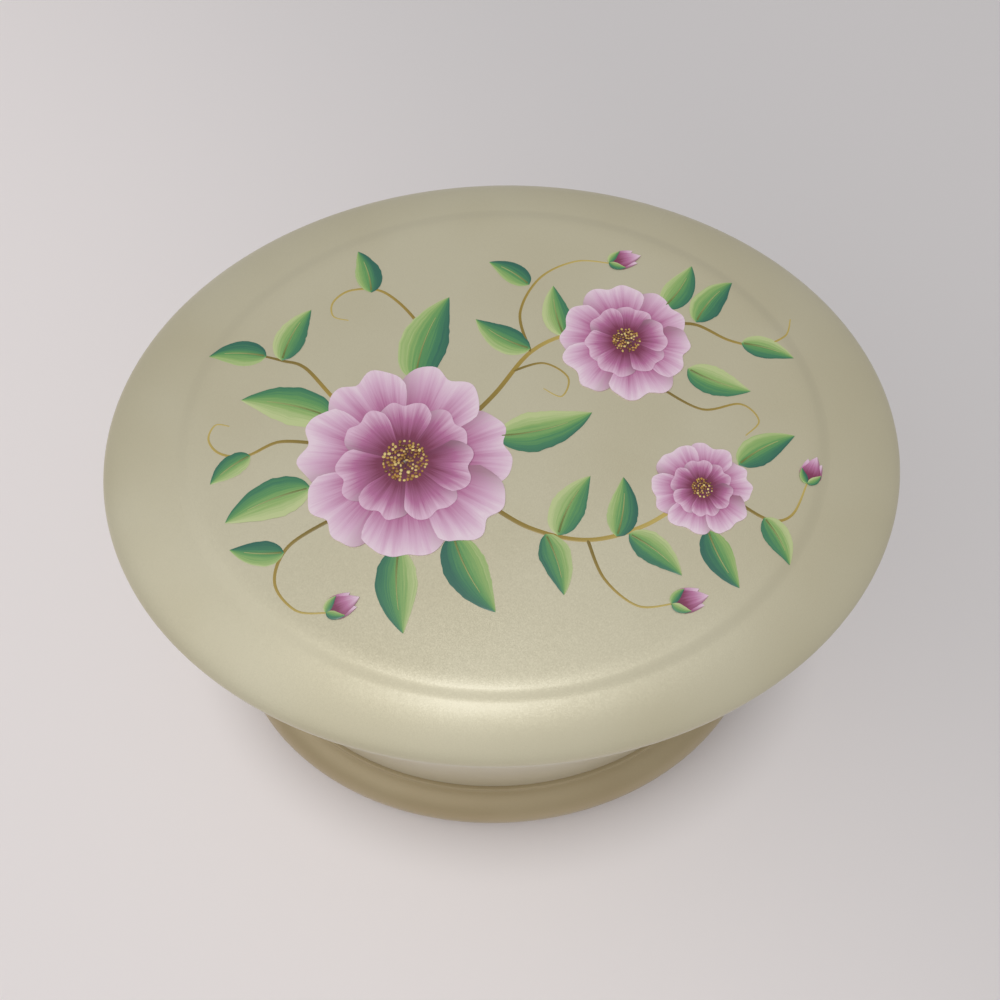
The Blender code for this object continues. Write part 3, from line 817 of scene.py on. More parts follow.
def softened_prism(name, node, inset, round_size):
    """A plan of the hollow carried up through its solid's box, with its top edge rounded."""
    low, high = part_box(node)
    loops = [hollow_ring(inset, low.z)]
    loops += [hollow_ring(inset + grown, high.z - left) for left, grown in rounding(round_size, EDGE_SLICES)]
    return closed_loft(name, loops, True)


def outline_length(inset):
    """The length once round the hollow."""
    points = hollow_outline(inset)[0]
    return sum((a - b).length for a, b in zip(points, points[1:] + points[:1]))


def felt_floor(tier):
    """The sheet of felt on a tier's floor."""
    node = tier + "_floor_lining"
    made = dress(softened_prism(tier + "_felt_floor", node, GAP, FELT_ROUND), FELT, node)


def felt_band(tier):
    """The band of felt round a tier's wall and boss."""
    node = tier + "_side_lining"
    low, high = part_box(node)
    half = FELT_THICKNESS / 2
    middle = GAP + half
    loops = [hollow_ring(GAP, low.z)]
    for i in range(2 * EDGE_SLICES + 1):
        turn = math.pi * i / (2 * EDGE_SLICES)
        loops.append(hollow_ring(middle - half * math.cos(turn), high.z - half * (1 - math.sin(turn))))
    loops.append(hollow_ring(GAP + FELT_THICKNESS, low.z))
    made = dress(closed_loft(tier + "_felt_band", loops, False), FELT, node)


for tier, carrier in (
        ("bottom_case", "moulded_base"), ("middle_tray", "middle_tray_floor_board"),
        ("top_tray", "top_tray_floor_board")):
    if tier != "bottom_case":
        floor_node = tier + "_floor"
        dress(softened_prism(carrier, floor_node, GAP - REBATE, GAP), PLYWOOD, floor_node)
    felt_floor(tier)
    felt_band(tier)
print("One felt band is", round(1000 * outline_length(GAP + FELT_THICKNESS / 2), 1), "mm long")

# %% [markdown]
# ## Dividers
#
# The dividers are card wrapped in velvet, so their edges are round. Those of the middle tray are
# slotted into each other half and half, as in an egg crate. Each one starts as an upright outline
# pushed through its thickness, and a bevel rounds the wrapped edges.

# %% Make the dividers
WRAP_ROUND = 0.9 * MM
WRAP_SLICES = 4
SLOT_HALF = 1.8 * MM


def divider(name, node, along_x, slot_at=None, slot_from_top=True):
    """A velvet-wrapped board in the box of its solid, half slotted where another one crosses it."""
    low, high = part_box(node)
    start, end = (low.x, high.x) if along_x else (low.y, high.y)
    outline = [(start, low.z), (start, high.z), (end, high.z), (end, low.z)]
    if slot_at is not None:
        middle = (low.z + high.z) / 2
        left, right = slot_at - SLOT_HALF, slot_at + SLOT_HALF
        if slot_from_top:
            outline[2:2] = [(left, high.z), (left, middle), (right, middle), (right, high.z)]
        else:
            outline[4:4] = [(right, low.z), (right, middle), (left, middle), (left, low.z)]
    if along_x:
        sides = [[Vector((a, y, z)) for a, z in outline] for y in (low.y, high.y)]
    else:
        sides = [[Vector((x, a, z)) for a, z in outline] for x in (low.x, high.x)]
    host = closed_loft(name + "_host", sides, True)
    wrap = host.modifiers.new("wrap", "BEVEL")
    wrap.width = WRAP_ROUND
    wrap.segments = WRAP_SLICES
    wrap.limit_method = "ANGLE"
    dress(settled(host, name), VELVET, node)


cross_low, cross_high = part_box("middle_tray_cross_divider")
divider("middle_cross_divider", "middle_tray_cross_divider", False, 0.0, True)
divider("middle_long_divider", "middle_tray_long_divider", True, (cross_low.x + cross_high.x) / 2, False)
divider("ring_space_left_divider", "top_tray_left_divider", False)
divider("ring_space_right_divider", "top_tray_right_divider", False)
print("Made four dividers")

# %% [markdown]
# ## The ring cushion
#
# Rings stand in the slots between soft rolls. Each roll is foam wrapped in velvet, tight along its length
# and gathered at its ends. It starts as a slightly thin roll and a cloth simulation blows it up from
# inside, which gives the skin its slight swell and puckers. No point may move further than the cap, so a
# roll never leaves the room that its solid holds.

# %% Make the ring rolls
ROLL_SIDES = 28
ROLL_PITCH = 1.6 * MM
ROLL_FEWEST = 8
ROLL_START_SHARE = 0.93
ROLL_SHRINK_POWER = 0.2
END_SHARE = 0.8
END_SLICES = 5
TIP_SHARE = 0.05
ROLL_PRESSURE = 4.0
ROLL_QUALITY = 6
ROLL_FRAMES = 20
ROLL_CAP = 0.35 * MM
PUCKER = 0.12 * MM
PUCKER_TURNS = 1.7
PUCKER_LENGTH = 9 * MM
PUCKER_SPREAD = 90


def thin_roll(name, low, high):
    """A roll a little thinner than its solid, with round ends, made of even faces."""
    middle = (low + high) / 2
    radius = (high.x - low.x) / 2 * ROLL_START_SHARE
    tip = radius * END_SHARE
    straight = (high.y - low.y) / 2 * ROLL_START_SHARE ** ROLL_SHRINK_POWER - tip
    count = max(ROLL_FEWEST, round(2 * straight / ROLL_PITCH))
    stations = [(-straight - tip * math.cos(t), math.sin(t)) for t in quarter(END_SLICES)]
    stations += [(-straight + 2 * straight * i / count, 1.0) for i in range(1, count)]
    stations += [(straight + tip * math.cos(t), math.sin(t)) for t in reversed(quarter(END_SLICES))]
    loops = []
    for y, share in stations:
        ring = []
        for i in range(ROLL_SIDES):
            turn = 2 * math.pi * i / ROLL_SIDES
            lean = noise(Vector((turn * PUCKER_TURNS, y / PUCKER_LENGTH, middle.x * PUCKER_SPREAD)))
            swell = radius * max(share, TIP_SHARE) + PUCKER * lean * share
            ring.append(middle + Vector((swell * math.cos(turn), y, swell * math.sin(turn))))
        loops.append(ring)
    return closed_loft(name, loops, True)


def blown_up(host):
    """Run the cloth and cap how far each point moves."""
    start = [v.co.copy() for v in host.data.vertices]
    skin = host.modifiers.new("skin", "CLOTH")
    skin.settings.use_pressure = True
    skin.settings.uniform_pressure_force = ROLL_PRESSURE
    skin.settings.effector_weights.gravity = 0.0
    skin.settings.quality = ROLL_QUALITY
    skin.point_cache.frame_end = ROLL_FRAMES
    for number in range(1, ROLL_FRAMES + 1):
        bpy.context.scene.frame_set(number)
    name = host.name
    made = settled(host, name + "_skin")
    for point, first in zip(made.data.vertices, start):
        shift = point.co - first
        if shift.length > ROLL_CAP:
            point.co = first + shift * (ROLL_CAP / shift.length)
    bpy.context.scene.frame_set(1)
    made.name = name
    return made


for number in range(1, 5):
    node = "ring_roll_%d" % number
    roll = thin_roll("ring_cushion_roll_%d" % number, *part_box(node))
    roll = blown_up(roll)
    finer = roll.modifiers.new("finer", "SUBSURF")
    finer.levels = 1
    finer.render_levels = 1
    roll = dress(settled(roll, "ring_cushion_%d" % number), VELVET, node)
print("Made four ring rolls")

# %% [markdown]
# ## The pivot's turned parts
#
# The screw, sleeves, washers, insert and pads are all turned or punched, so each is a short profile
# swept round a circle. A thin gap stays between neighbours, as on the bench.

# %% Make the turned parts
TURNED_SIDES = 72
PAD_ROUND = 0.5 * MM
SOFT_EDGE = 0.25 * MM
SCREW = 3.0 * MM
SCREW_HEAD = 6.0 * MM
SCREW_CHAMFER = 0.6 * MM
SOCKET = 2.9 * MM
SOCKET_DEPTH = 2.5 * MM
SOCKET_SIDES = 6
WAVES = 3
INSERT_RIDGE = 0.5 * MM
INSERT_TURNS = 8


def lathed(name, node, finish, profile, closed=False):
    """Sweep (radius, height) points round the middle of a solid's box."""
    low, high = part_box(node)
    outer = max(radius for radius, _ in profile)
    points = [(outer - radius, outer - radius, height) for radius, height in profile]
    middle = (low + high) / 2
    return swept(name, points, outer, outer, (middle.x, middle.y, 0.0), TURNED_SIDES, finish, closed)


def ring_part(name, node, finish, edge):
    """A ring that fills its solid's box, with its outer edges eased."""
    low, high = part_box(node)
    outer = (high.x - low.x) / 2
    profile = [
        (SCREW_HOLE, low.z), (outer - edge, low.z), (outer, low.z + edge),
        (outer, high.z - edge), (outer - edge, high.z), (SCREW_HOLE, high.z)]
    dress(lathed(name, node, finish, profile, True), finish, node)


for place in ("bottom_case", "middle_tray", "top_tray"):
    ring_part(place + "_brass_sleeve", place + "_sleeve", BRASS, SOFT_EDGE)
for place in ("bottom", "middle", "top"):
    ring_part(place + "_nylon_glide", place + "_glide_washer", NYLON, SOFT_EDGE / 2)
ring_part("plain_washer", "head_washer", ZINC, SOFT_EDGE)

low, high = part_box("wave_washer")
outer = (high.x - low.x) / 2
rise = (high.z - low.z) / 2
profile = [(SCREW_HOLE, low.z), (outer, low.z), (outer, low.z + rise), (SCREW_HOLE, low.z + rise)]
wave = dress(lathed("spring_washer", "wave_washer", ZINC, profile, True), ZINC, "wave_washer")
for point in wave.data.vertices:
    turn = math.atan2(point.co.y - PIVOT.y, point.co.x - PIVOT.x)
    point.co.z += rise * (1 - math.cos(WAVES * turn)) / 2

low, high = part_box("lid_insert")
outer = (high.x - low.x) / 2
profile = [(SCREW_HOLE, low.z)]
for i in range(INSERT_TURNS):
    start = low.z + (high.z - low.z) * i / INSERT_TURNS
    crest = low.z + (high.z - low.z) * (i + 0.5) / INSERT_TURNS
    profile += [(outer - INSERT_RIDGE, start), (outer, crest)]
profile += [(outer - INSERT_RIDGE, high.z), (SCREW_HOLE, high.z)]
dress(lathed("brass_insert", "lid_insert", BRASS, profile, True), BRASS, "lid_insert")

low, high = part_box("pivot_screw")
head_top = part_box("head_washer")[0].z - GAP
screw = lathed("furniture_screw", "pivot_screw", ZINC, [
    (0.0, low.z), (SCREW_HEAD - SCREW_CHAMFER, low.z), (SCREW_HEAD, low.z + SCREW_CHAMFER),
    (SCREW_HEAD, head_top - SOFT_EDGE), (SCREW_HEAD - SOFT_EDGE, head_top), (SCREW, head_top),
    (SCREW, high.z - SCREW_CHAMFER), (SCREW - SCREW_CHAMFER, high.z), (0.0, high.z)])
screw = drilled(screw, SOCKET, low.z - OVERRUN, low.z + SOCKET_DEPTH, SOCKET_SIDES)
dress(screw, ZINC, "pivot_screw")

for number in range(1, 5):
    node = "foot_pad_%d" % number
    low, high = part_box(node)
    outer = (high.x - low.x) / 2
    profile = [
        (0.0, low.z), (outer - 2 * PAD_ROUND, low.z), (outer - PAD_ROUND / 2, low.z + PAD_ROUND / 2),
        (outer, low.z + PAD_ROUND), (outer, high.z), (0.0, high.z)]
    dress(lathed("rubber_pad_%d" % number, node, RUBBER, profile), RUBBER, node)
print("Made the turned parts")

# %% [markdown]
# ## A brush stroke that follows the lid
#
# A painted line is a low ridge of paint along a path. The tree below sweeps a round brush mark along
# each path, flattens it, and drops it on the lid with a ray from above, so a stroke that runs over the
# moulding bends with it. Each path's points carry the brush's half width, the coat that the stroke
# belongs to, and the stroke's own number. Later coats lie a few hundredths of a millimetre higher.

# %% Build the stroke tree
COAT = 0.03 * MM
FILM = 0.05 * MM
SUNK = 0.04 * MM
STROKE_STEP = 0.45 * MM
BRUSH_SIDES = 12
UNDERSIDE = -0.01


def brush_stroke_tree():
    """Sweep a brush mark along paths, flatten it, and lay it on the surface underneath."""
    tree, given = new_tree(
        "brush_stroke", Geometry="Geometry", Surface="Object", Step="Float", Film="Float", Coat="Float",
        Sunk="Float", Brush_Sides="Int", Finish="Material")
    place = out(tree, "GeometryNodeInputPosition")
    line = out(tree, "GeometryNodeMeshToCurve", 0, {"Mesh": given["Geometry"]})
    eased = out(tree, "GeometryNodeCurveSplineType", 0, {"Curve": line}, spline_type="CATMULL_ROM")
    even = out(
        tree, "GeometryNodeResampleCurve", 0, {"Curve": eased, "Length": given["Step"]}, mode="LENGTH")
    path = captured(
        tree, even, spot=("VECTOR", place), heading=("VECTOR", out(tree, "GeometryNodeInputTangent")),
        share=("FLOAT", out(tree, "GeometryNodeSplineParameter", "Factor")))
    mark = captured(tree, unit_circle(tree, given["Brush Sides"]), brush=("VECTOR", place))
    ridge = swept_along(tree, path, mark, True)
    brush = add(tree, "ShaderNodeSeparateXYZ", {0: mark["brush"]}).outputs
    width, coat = [
        out(tree, "GeometryNodeInputNamedAttribute", "Attribute", {"Name": key}, data_type="FLOAT")
        for key in ("half_width", "coat")]
    sideways = vector(tree, "NORMALIZE", vector(tree, "CROSS_PRODUCT", path["heading"], UP))
    aside = vector(tree, "SCALE", sideways, maths(tree, "MULTIPLY", width, brush["X"]))
    surface = out(tree, "GeometryNodeObjectInfo", "Geometry", {"Object": given["Surface"]})
    under = out(
        tree, "GeometryNodeRaycast", "Hit Position",
        {"Target Geometry": surface, "Source Position": vector(tree, "ADD", path["spot"], aside),
         "Ray Direction": (0.0, 0.0, -1.0), "Ray Length": 1.0})
    swell = maths(tree, "MULTIPLY", maths(tree, "MAXIMUM", brush["Y"], 0.0), given["Film"])
    top = maths(tree, "ADD", maths(tree, "MULTIPLY", coat, given["Coat"]), swell)
    below = maths(tree, "MULTIPLY", given["Sunk"], -1.0)
    lift = out(
        tree, "ShaderNodeMix", "Result",
        {"Factor": maths(tree, "LESS_THAN", brush["Y"], UNDERSIDE), "A": top, "B": below},
        data_type="FLOAT")
    laid = vector(tree, "ADD", under, out(tree, "ShaderNodeCombineXYZ", 0, {"Z": lift}))
    paint = out(tree, "GeometryNodeSetPosition", 0, {"Geometry": ridge, "Position": laid})
    paint = stored(tree, paint, "along", path["share"])
    paint = stored(tree, paint, "across", brush["X"])
    return ended(tree, paint, given["Finish"])


BRUSH_STROKE = brush_stroke_tree()
print("The stroke tree has", len(BRUSH_STROKE.nodes), "nodes")

# %% [markdown]
# ## Strokes as paths
#
# A stroke is a list of plan points in millimetres from the lid's middle, with a half width at each. All
# strokes of one paint share a mesh of edges, and the tree paints them in one go.

# %% Turn strokes into painted pieces
SKY = 20 * MM
NUMBER_STEP = 0.618034
LEAF_LEAD_SHARE = 0.3
LEAF_PEAK_POWER = 0.72
LEAF_FULLNESS = 0.85
LEAF_WAVERS = ((0.07, 5, 0), (0.05, 15, 7))
THINNEST = 0.03


def painted_strokes(name, strokes, finish):
    """Paint a list of strokes on the lid, each a dict of points, half widths and a coat."""
    points, links, widths, coats, numbers = [], [], [], [], []
    for number, stroke in enumerate(strokes):
        first = len(points)
        points += [(x * MM, y * MM, LID_HIGH.z + SKY) for x, y in stroke["points"]]
        widths += [width * MM for width in stroke["widths"]]
        coats += [stroke["coat"]] * len(stroke["points"])
        numbers += [(number * NUMBER_STEP) % 1.0] * len(stroke["points"])
        links += [(i, i + 1) for i in range(first, len(points) - 1)]
    mesh = bpy.data.meshes.new(name + "_paths")
    mesh.from_pydata(points, links, [])
    for key, values in (("half_width", widths), ("coat", coats), ("stroke", numbers)):
        mesh.attributes.new(key, "FLOAT", "POINT").data.foreach_set("value", values)
    host = object_with(name + "_host", mesh)
    run_tree(host, BRUSH_STROKE, {
        "Surface": lid, "Step": STROKE_STEP, "Film": FILM, "Coat": COAT, "Sunk": SUNK,
        "Brush Sides": BRUSH_SIDES, "Finish": finish})
    made = dress(settled(host, name), finish, body="lid")
    print(name, "has", len(strokes), "strokes and", len(made.data.polygons), "faces")


def tapered(points, thick, thin, coat=0):
    """A vine's stroke: from thick to thin along its points."""
    last = len(points) - 1
    widths = [thick + (thin - thick) * i / last for i in range(len(points))]
    return {"points": points, "widths": widths, "coat": coat}


def leaf_stroke(x, y, direction, length, width, bend, count, wobble, coat):
    """A leaf from (x, y): it heads in a direction in degrees, turns by bend and is drawn out to a point."""
    points = [(x, y)]
    for i in range(count):
        heading = math.radians(direction + bend * (i / count - LEAF_LEAD_SHARE))
        x += length / count * math.cos(heading)
        y += length / count * math.sin(heading)
        points.append((x, y))
    widths = []
    for i in range(count + 1):
        share = i / count
        full = math.sin(math.pi * share ** LEAF_PEAK_POWER) ** LEAF_FULLNESS if 0 < share < 1 else 0.0
        waver = 1
        for size, pace, layer in LEAF_WAVERS:
            waver += size * noise(Vector((share * pace, wobble, layer)))
        widths.append(max(THINNEST, width / 2 * full * waver))
    return {"points": points, "widths": widths, "coat": coat}


# %% [markdown]
# ## The painted flowers
#
# The design is a swag of open, double-petalled blossoms on a curling vine: a big blossom low on the left,
# a middle one up on the right and a small one to the right of them, with buds at the vine's ends. It
# keeps to mauve-pink petals, two-tone green leaves and ochre stems, with paint put on in the order that a
# decorator works: stems first, then leaves and their veins, then petals, and the dotted centres last.

# %% Draw the vines and the leaves
BLOSSOMS = (
    {"at": (-25.0, -8.0), "radius": 27.0, "petals": 7, "turn": 12.0, "seed": 3.0},
    {"at": (33.0, 24.0), "radius": 17.5, "petals": 6, "turn": 40.0, "seed": 11.0},
    {"at": (47.0, -19.0), "radius": 12.5, "petals": 6, "turn": 5.0, "seed": 23.0},
)
VINES = (
    (((-62, 24.5), (-56, 22.5), (-50, 20), (-42, 10), (-32, 0)), 0.3, 0.62),
    (((-12, 0), (-2, 10), (8, 22), (19, 27), (30, 26)), 0.62, 0.5),
    (((40, 28), (51, 28.5), (60, 23), (68, 21), (75, 24), (77.5, 29.5)), 0.55, 0.16),
    (((-8, -18), (4, -27), (18, -31), (32, -28), (44, -21)), 0.6, 0.5),
    (((54, -22), (62, -28), (68, -27), (73, -19)), 0.5, 0.2),
    (((-42, -22), (-53, -29), (-56, -38), (-51, -45), (-44, -46)), 0.5, 0.2),
    (((-46, -2), (-56, -1), (-64, -4.5), (-70.5, -3.5), (-73.5, 0.5), (-72, 4.5), (-68.5, 4)), 0.5, 0.14),
    (((-20, 16), (-20, 30), (-29, 42), (-38, 43.5), (-43, 40), (-43, 35.5), (-39, 34)), 0.5, 0.14),
    (((8, 22), (6, 34), (12, 45), (22, 50), (31, 49)), 0.42, 0.2),
    (((18, -31), (21, -41), (28, -48), (36, -48)), 0.42, 0.2),
    (((40, 10), (50, 3), (60, 4), (64, -1), (60, -5)), 0.4, 0.15),
    (((3, 16.5), (11, 18.5), (17, 14), (15, 8.5), (10.5, 11)), 0.36, 0.14),
)
LEAVES = (
    (-43, 5, 160, 24, 11, 26), (-22, 15, 74, 27, 12.5, -28), (-2, -2, 8, 25, 11, 26),
    (-14, -28, -70, 22, 10.5, 26), (-27, -31, -92, 21, 10, 22), (-48, -14, 198, 22, 10.5, 24),
    (-60, 24, 172, 15, 7.5, 24), (-56, 22.5, 70, 17, 8, -30), (-33, 42.5, 100, 14, 7, 26),
    (8, 23, 150, 17, 8, -30), (17, 26.5, 100, 16, 7.5, -24), (19, 25, -60, 17, 8, 30),
    (44, 34, 50, 16, 8, 26), (48, 15, -30, 17, 8.5, 22), (52, 29, 52, 17, 8, -28),
    (63, 22, -18, 14, 6.5, -20), (9, 43, 138, 13, 6.5, 26), (8, -29, -74, 16, 7.5, -24),
    (11, -29.5, 64, 18, 8.5, -28), (25, -30.5, 74, 16, 7.5, 24), (28, -30, -40, 16, 7.5, -26),
    (47, -30, -74, 16, 7.5, 22), (57, -13, 30, 17, 8, -26), (61, -27.5, -66, 13, 6.5, -24),
    (-54, -30.5, 178, 13, 6.5, -20), (-63, -4.5, -146, 12, 6, 24),
)
LEAF_COUNT = 22
LEAF_COATS = (1, 2, 3)
VEIN_POINTS = slice(1, 18, 3)
VEIN_THICK = 0.26
VEIN_THIN = 0.08
VEIN_COAT = 5

vines = [tapered(points, thick, thin) for points, thick, thin in VINES]
leaves = [
    leaf_stroke(*leaf, LEAF_COUNT, number, LEAF_COATS[number % 3]) for number, leaf in enumerate(LEAVES)]
veins = [tapered(leaf["points"][VEIN_POINTS], VEIN_THICK, VEIN_THIN, VEIN_COAT) for leaf in leaves]
painted_strokes("painted_vines", vines, VINE_PAINT)
painted_strokes("painted_leaves", leaves, LEAF_PAINT)
painted_strokes("painted_leaf_veins", veins, VEIN_PAINT)

# %% [markdown]
# ## Petals
#
# A petal is a fan of paint pulled from its rim to the flower's middle, so its streaks run inwards. The
# rim is full at its shoulders and dented in the middle, and it wavers a little, since no two petals come
# off a brush alike. Each petal is a small grid dropped on the lid and closed underneath. Each ring of
# petals has a size, a turn, a ruffle and the coat that it starts on.

# %% Paint the petals
PETAL_RINGS = (
    ("painted_outer_petals", PETAL_PAINT, 1.0, 0.0, 0.07, 6),
    ("painted_inner_petals", HEART_PAINT, 0.62, 0.5, 0.05, 14),
)
GRID_ALONG = 22
GRID_ACROSS = 30
PETAL_START_SHARE = 0.03
PETAL_KEY_STEP = 7.3
RING_KEY_STEP = 31
TURN_WAVER = 0.16
TURN_PLACE = (1.7, 0.3)
SIZE_WAVER = 0.07
SIZE_PLACE = (9.1, 2.0)
SHOULDER_DROP = 0.3
SHOULDER_POWER = 3.2
DENT = 0.08
DENT_WIDTH = 0.2
RUFFLES = 2.6
RUFFLE_PLACE = 4.0
OPENING_SHARE = 0.66
THROAT_SHARE = 0.7
OPENING_POWER = 0.6
EDGE_POWERS = (8, 10)
SEED_STEP = 0.37
PETAL_STEP = 0.618
lid_surface = BVHTree.FromObject(lid, bpy.context.evaluated_depsgraph_get())


def lid_height(x, y):
    """The height of the lid's surface at a place in plan."""
    return lid_surface.ray_cast(Vector((x, y, LID_HIGH.z + SKY)), Vector((0, 0, -1)))[0].z


def petal_plan(blossom, size, shift, ruffle, index, along, across):
    """Where a point of a petal lies in plan, in metres."""
    key = blossom["seed"] + PETAL_KEY_STEP * index + RING_KEY_STEP * shift
    step = 2 * math.pi / blossom["petals"]
    own_turn = TURN_WAVER * noise(Vector((key, *TURN_PLACE)))
    own_size = 1 + SIZE_WAVER * noise(Vector((key, *SIZE_PLACE)))
    rim = 1 - SHOULDER_DROP * abs(across) ** SHOULDER_POWER - DENT * math.exp(-(across / DENT_WIDTH) ** 2)
    rim += ruffle * noise(Vector((across * RUFFLES, key, RUFFLE_PLACE)))
    reach = PETAL_START_SHARE + (1 - PETAL_START_SHARE) * along * rim
    opening = OPENING_SHARE * step * (THROAT_SHARE + (1 - THROAT_SHARE) * along ** OPENING_POWER)
    angle = math.radians(blossom["turn"]) + step * (index + shift + own_turn) + across * opening
    radius = blossom["radius"] * MM * size * own_size * reach
    x, y = blossom["at"]
    return x * MM + radius * math.cos(angle), y * MM + radius * math.sin(angle)


def petal_grid(blossom, size, shift, ruffle, index, coat, verts, faces, rows):
    """Add one closed petal to the lists of points, faces and brush values."""
    first = len(verts)
    own = (blossom["seed"] * SEED_STEP + index * PETAL_STEP + shift) % 1
    for is_top in (True, False):
        for i in range(GRID_ALONG + 1):
            for j in range(GRID_ACROSS + 1):
                along = i / GRID_ALONG
                across = 2 * j / GRID_ACROSS - 1
                x, y = petal_plan(blossom, size, shift, ruffle, index, along, across)
                body = FILM * (1 - abs(across) ** EDGE_POWERS[0]) * (1 - along ** EDGE_POWERS[1])
                verts.append((x, y, lid_height(x, y) + (coat * COAT + body if is_top else -SUNK)))
                rows.append((along, across, own))
    wide = GRID_ACROSS + 1
    down = (GRID_ALONG + 1) * wide
    for i in range(GRID_ALONG):
        for j in range(GRID_ACROSS):
            a = first + i * wide + j
            faces.append((a, a + wide, a + wide + 1, a + 1))
            faces.append((a + down, a + down + 1, a + down + wide + 1, a + down + wide))
    rim = [first + j for j in range(wide)]
    rim += [first + i * wide + GRID_ACROSS for i in range(1, GRID_ALONG + 1)]
    rim += [first + GRID_ALONG * wide + j for j in reversed(range(GRID_ACROSS))]
    rim += [first + i * wide for i in reversed(range(1, GRID_ALONG))]
    for a, b in zip(rim, rim[1:] + rim[:1]):
        faces.append((a, b, b + down, a + down))


for name, finish, size, shift, ruffle, first_coat in PETAL_RINGS:
    verts, faces, rows = [], [], []
    for blossom in BLOSSOMS:
        for index in range(blossom["petals"]):
            petal_grid(blossom, size, shift, ruffle, index, first_coat + index, verts, faces, rows)
    mesh = bpy.data.meshes.new(name + "_grid")
    mesh.from_pydata(verts, [], faces)
    for key, column in zip(("along", "across", "stroke"), zip(*rows)):
        mesh.attributes.new(key, "FLOAT", "POINT").data.foreach_set("value", column)
    shape = bmesh.new()
    shape.from_mesh(mesh)
    dress(meshed(name, shape), finish, body="lid")
    print(name, "has", len(faces), "faces")

# %% [markdown]
# ## Buds
#
# A bud is three short strokes of petal paint side by side, the middle one last and longest, held by two
# curved strokes of leaf paint.

# %% Paint the buds
BUDS = (
    (36, -48, 10, 9, 5.2), (73, -19, 62, 8, 4.6), (31, 49, 12, 9, 5), (-44, -46, 24, 8.5, 5),
)
BUD_PETALS = ((-16, 0.85, 7), (16, 0.85, 7), (0, 1.0, 8))
BUD_COUNT = 10
CALYX_LEANS = (-40, 40)
CALYX_LENGTH_SHARE = 0.55
CALYX_WIDTH_SHARE = 0.42
CALYX_BEND = 0.9
CALYX_COUNT = 8
CALYX_COAT = 10

buds = []
calyxes = []
for number, (x, y, direction, length, width) in enumerate(BUDS):
    for lean, share, coat in BUD_PETALS:
        buds.append(leaf_stroke(
            x, y, direction + lean, length * share, width * share, 0, BUD_COUNT, number, coat))
    for lean in CALYX_LEANS:
        calyxes.append(leaf_stroke(
            x, y, direction + lean, length * CALYX_LENGTH_SHARE, width * CALYX_WIDTH_SHARE,
            -lean * CALYX_BEND, CALYX_COUNT, number + lean, CALYX_COAT))
painted_strokes("painted_buds", buds, PETAL_PAINT)
painted_strokes("painted_bud_leaves", calyxes, LEAF_PAINT)

# %% [markdown]
# ## Dotted centres
#
# The last marks are dots of thick ochre and cream, set down with the handle of the brush. Geometry
# Nodes scatter them over a disc in each blossom, never closer than a dot's width, and put a low dome
# on every one.

# %% Build the tree that sets the dots
DOT = 0.75 * MM
DOT_SHARE = 0.62
DOT_FLATNESS = 0.4
DOT_SIZES = {"Min": (0.6, 0.6, 0.8), "Max": (1.1, 1.1, 1.2)}
DOT_SEGMENTS = 10
DOT_RINGS = 6
DOT_COAT = 22
DOT_SPACING_SHARE = 0.95
CENTRE_SHARE = 0.2
CENTRE_SIDES = 48
TRIES_PER_AREA = 9e6


def dots_tree():
    """Scatter domes of paint over a disc."""
    tree, given = new_tree(
        "paint_dots", Spread="Float", Spacing="Float", Dot_Radius="Float", Flatness="Float",
        Middle="Vector", Seed="Int", Finish="Material")
    disc = out(
        tree, "GeometryNodeMeshCircle", "Mesh", {"Vertices": CENTRE_SIDES, "Radius": given["Spread"]},
        fill_type="NGON")
    placed = out(tree, "GeometryNodeTransform", 0, {"Geometry": disc, "Translation": given["Middle"]})
    spots = out(
        tree, "GeometryNodeDistributePointsOnFaces", "Points",
        {"Mesh": placed, "Distance Min": given["Spacing"], "Density Max": TRIES_PER_AREA,
         "Seed": given["Seed"]}, distribute_method="POISSON")
    dome = out(
        tree, "GeometryNodeMeshUVSphere", "Mesh",
        {"Segments": DOT_SEGMENTS, "Rings": DOT_RINGS, "Radius": given["Dot Radius"]})
    shape = out(tree, "ShaderNodeCombineXYZ", 0, {"X": 1.0, "Y": 1.0, "Z": given["Flatness"]})
    size = out(
        tree, "FunctionNodeRandomValue", "Value", DOT_SIZES | {"Seed": given["Seed"]},
        data_type="FLOAT_VECTOR")
    own = out(
        tree, "FunctionNodeRandomValue", 1, {2: 0.0, 3: 1.0, "Seed": given["Seed"]}, data_type="FLOAT")
    tinted = stored(tree, spots, "along", own)
    set_down = out(
        tree, "GeometryNodeInstanceOnPoints", "Instances",
        {"Points": tinted, "Instance": dome, "Scale": vector(tree, "MULTIPLY", size, shape)})
    return ended(tree, set_down, given["Finish"])


PAINT_DOTS = dots_tree()
for number, blossom in enumerate(BLOSSOMS, 1):
    x, y = blossom["at"]
    dot = DOT * (blossom["radius"] / BLOSSOMS[0]["radius"]) ** 0.5
    host = object_with("dots_host", bpy.data.meshes.new("dots_host"))
    run_tree(host, PAINT_DOTS, {
        "Spread": blossom["radius"] * MM * CENTRE_SHARE, "Spacing": dot * DOT_SPACING_SHARE,
        "Dot Radius": dot * DOT_SHARE, "Flatness": DOT_FLATNESS,
        "Middle": (x * MM, y * MM, LID_HIGH.z + DOT_COAT * COAT), "Seed": number, "Finish": POLLEN_PAINT})
    dots = dress(settled(host, "painted_dots_%d" % number), POLLEN_PAINT, body="lid")
    print(dots.name, "has", len(dots.data.polygons), "faces")

# %% [markdown]
# ## Table, light and background
#
# The box stands on a pale, slightly mauve table in a white room. One lamp under the ceiling draws the
# bright line along the lid's near edge and a faint shadow to the right. A window on the left and pale
# walls on the near side do the rest, so the shadows are soft and nothing goes black. The room is a
# world whose brightness depends only on direction: even, with two soft lobes. The table's colour gets a
# little darker towards the far right: painted shade where the room's light falls off.

